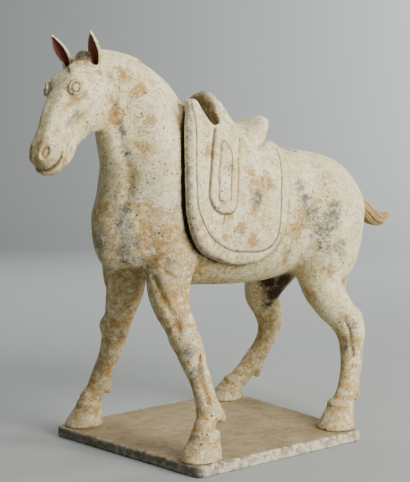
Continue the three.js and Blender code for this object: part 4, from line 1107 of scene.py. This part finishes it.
def paint_horse(piece):
    p = points_of(piece)
    turn = bulge(piece, 6)
    wide_turn = bulge(piece, 30)
    bare_body = Clay()
    bare_body.steps = body_clay.steps[:cloth_step]
    height = bare_body(p)
    s, z = swept(p, height), p[:, 2]
    inset = cloth_inset(s, z)
    lift = lifted(s)
    on_cloth = rise(height - CLOTH_GAP * lift, 2, 4) * rise(-inset, -2, 0) * rise(CLOTH_TOP_Z + 4 - z, 0, 4)
    # Painted shade: the body under the cloth's lifted front edge is painted dark, as the gap there lies in
    # shade.
    shade_under_cloth = rise(CLOTH_GAP * lift + 0.8 - height, 0, 1.5) * rise(-inset, -1.5, 0.5) * rise(lift, 0.15, 0.5)
    shade_under_cloth = shade_under_cloth * rise(CLOTH_TOP_Z - 2 - z, 0, 4)
    lines = [(border_line, 1.1), (flap_line, 1.5)] + [(line, 1.1) for line in strap_lines]
    scored = np.max([incised(line, s, z, wide) for line, wide in lines], axis=0)
    rim = on_cloth * rise(inset, -5, -1.5)
    rim_worn = rim * (0.30 + 0.45 * lift + 0.25 * rise(300 - z, 0, 40))
    pommel = rise(2.2 - Ball(*POMMEL_HOLLOW)(p), 0, 1.8) * rise(z, 380, 392)
    brown = patches(p, [BROWN_SPOT])
    # Painted shade on the left cheek, laid in the wear coat.
    cheek_shade = patches(p, [[*place(*CHEEK_SHADE_SPOT[:3]), CHEEK_SHADE_SPOT[3]]])
    muzzle = rise((p - POLL) @ DOWN, 96, 146)
    beside_cloth = rise(14 - inset, 0, 12) * rise(inset, -2, 0) * (1 - lift) * rise(330 - z, 0, 60)
    low_right = rise(250 - z, 20, 120) * rise(p[:, 1], 0, 60)
    earth = most(patches(p, OCHRE_SPOTS) * 1.45, brown * 1.6, 0.8 * pommel, 0.72 * muzzle,
                 0.5 * low_right, 0.5 * rise(70 - z, 0, 40), 0.55 * beside_cloth)
    # Painted shadow with dirt: a dark line on the body along the cloth's rear edge, where the edge shades it;
    # it goes into the scored coat.
    foot = np.exp(-((inset + 0.8) / 1.6) ** 2) * (1 - lift) * rise(height, 3, 7) * rise(CLOTH_TOP_Z - z, 0, 4)
    paint(piece, earth=earth,
          # The wear coat also holds painted shade on the chest and the left cheek.
          worn=most(patches(p, WEAR_AND_SHADE_SPOTS) * 1.8, rim_worn, cheek_shade * 1.5),
          rust=most(in_ears(p), brown * 0.7),
          # The soot coat also holds the painted shade under the cloth's lifted front edge.
          soot=most(patches(p, DARK_SPOTS) * 1.3, pommel * 0.30, shade_under_cloth),
          scored=most(scored * on_cloth, foot * 0.6, face_lines(p)),
          hollow=-turn / 0.40 - 0.1, proud=turn / 0.45 + wide_turn / 10)


def paint_slab(piece):
    x, _, z = points_of(piece).T
    front_left, right_end = rise(-120 - x, 0, 12), rise(x - 118, 0, 12)
    paint(piece, side=rise(SLAB_THICK - z, 1.2, 3.2), edge=bulge(piece, 10) / 0.9,
          # Painted shade: the sides darker, and their rims less white, towards the front-left end and a
          # little towards the right end.
          worn=0.8 * front_left + 0.35 * right_end)


def paint_tail(piece):
    turn = bulge(piece, 8)
    paint(piece, hollow=-turn / 0.35, proud=turn / 0.35)


def hand_worked(points, quads, scale):
    """Moves the surface in and out a little, as hand-smoothed and long-buried clay is."""
    n = normals_of(points, quads)
    chips = rise(lumps(points, 9, 4), 0.45, 0.8) * CHIP_DEPTH
    return points + n * ((uneven(points, HAND_WORK) - chips) * scale)[:, None]


def build(name, clay, node, fineness, scale, finish):
    """One piece from its clay, within the CAD node's box, hand worked to that scale."""
    low, high = (np.array(corner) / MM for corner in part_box(node))
    step, triangles = fineness
    points, quads = surface(*sample(clay, low - BOX_PAD, high + BOX_PAD, step))
    if scale:
        still = rise(points[:, 2], SOLE_Z + 0.6, SOLE_Z + 6)
        points = points + (hand_worked(points, quads, scale) - points) * still[:, None]
    return decimated(new_object(name, (points * MM).tolist(), quads.tolist(), finish), triangles)


for name, node, clay, fineness, scale, finish, painter in (
        ("horse_slipped", "horse", body_clay, HORSE_FINE, 1.0, slip_finish, paint_horse),
        ("slab_brushed", "base_slab", slab_clay, SLAB_FINE, 0.0, slab_finish, paint_slab),
        ("tail_combed", "tail", tail_clay, TAIL_FINE, 0.4, tail_finish, paint_tail)):
    piece = build(name, clay, node, fineness, scale, finish())
    painter(piece)
    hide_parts(node)
    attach(piece, "root")


# Stage, light and camera. Azimuths are degrees from -Y towards +X, elevations degrees above level.
CAMERA_AZIMUTH, CAMERA_ELEVATION, CAMERA_ANGLE = -41, 4.2, 26
CAMERA_AIM, CAMERA_DISTANCE = (0.012, 0.027, 0.253), 1.3735
HORSE_MIDDLE, BACKDROP_MIDDLE = (0, 0, 0.25), (4.1, 1.6, 1.3)
# The floor curves up behind: how far back, radius of the bend, half width, depth in front, top.
FLOOR_BACK, FLOOR_BEND, FLOOR_HALF, FLOOR_FRONT, FLOOR_TOP = 3.0, 1.2, 8.0, 5.0, 5.0
# Rows: name, azimuth, elevation, distance, size, power, colour, aim.
LIGHTS = (
    ("key", 8, 24, 1.9, 1.1, 73, (1.0, 0.985, 0.955), HORSE_MIDDLE),
    ("fill", -80, 15, 2.6, 1.6, 4.5, (0.96, 0.98, 1.0), HORSE_MIDDLE),
    ("top", -20, 80, 2.2, 1.4, 10, (1.0, 1.0, 1.0), HORSE_MIDDLE),
    ("back", 150, 42, 2.4, 1.8, 34, (1.0, 1.0, 1.0), HORSE_MIDDLE),
    ("backdrop", -8, 14, 2.5, 1.2, 380, (0.97, 1.0, 1.0), BACKDROP_MIDDLE))
SKY, SKY_STRENGTH = (0.80, 0.83, 0.88, 1.0), 0.11


def studio_floor():
    look = bpy.data.materials.new("studio_paper")
    look.use_nodes = True
    shader = look.node_tree.nodes["Principled BSDF"].inputs
    shader["Base Color"].default_value = tint(150, 153, 151)
    shader["Roughness"].default_value = 0.9
    shader["Specular IOR Level"].default_value = 0.1
    profile = [(-FLOOR_FRONT, 0.0), (FLOOR_BACK, 0.0)]
    profile += [(FLOOR_BACK + FLOOR_BEND * math.sin(a), FLOOR_BEND - FLOOR_BEND * math.cos(a))
                for a in np.linspace(0.1, math.pi / 2, 14)]
    profile.append((FLOOR_BACK + FLOOR_BEND, FLOOR_TOP))
    away = -toward(CAMERA_AZIMUTH, 0)
    across = Vector((away.y, -away.x, 0))
    points = [away * along + across * side + Vector((0, 0, up))
              for along, up in profile for side in (-FLOOR_HALF, FLOOR_HALF)]
    faces = [(2 * i, 2 * i + 1, 2 * i + 3, 2 * i + 2) for i in range(len(profile) - 1)]
    new_object("studio_floor", points, faces, look)


def toward(azimuth, elevation):
    a, e = math.radians(azimuth), math.radians(elevation)
    return Vector((math.sin(a) * math.cos(e), -math.cos(a) * math.cos(e), math.sin(e)))


def aimed(name, data, azimuth, elevation, distance, aim):
    """A lamp or camera that looks at the aim from that far away."""
    back = toward(azimuth, elevation)
    item = bpy.data.objects.new(name, data)
    item.location = Vector(aim) + back * distance
    item.rotation_mode = "QUATERNION"
    item.rotation_quaternion = (-back).to_track_quat("-Z", "Y")
    return linked(item)


studio_floor()
for name, azimuth, elevation, distance, size, power, colour, aim in LIGHTS:
    lamp = bpy.data.lights.new(name, "AREA")
    lamp.energy, lamp.size, lamp.color = power, size, colour
    aimed(name, lamp, azimuth, elevation, distance, aim)
world = bpy.data.worlds.new("studio")
world.use_nodes = True
sky = world.node_tree.nodes["Background"].inputs
sky["Color"].default_value = SKY
sky["Strength"].default_value = SKY_STRENGTH
bpy.context.scene.world = world
lens = bpy.data.cameras.new("photo_camera")
lens.sensor_fit = "AUTO"
lens.angle = math.radians(CAMERA_ANGLE)
bpy.context.scene.camera = aimed("photo_camera", lens, CAMERA_AZIMUTH, CAMERA_ELEVATION, CAMERA_DISTANCE,
                                 CAMERA_AIM)
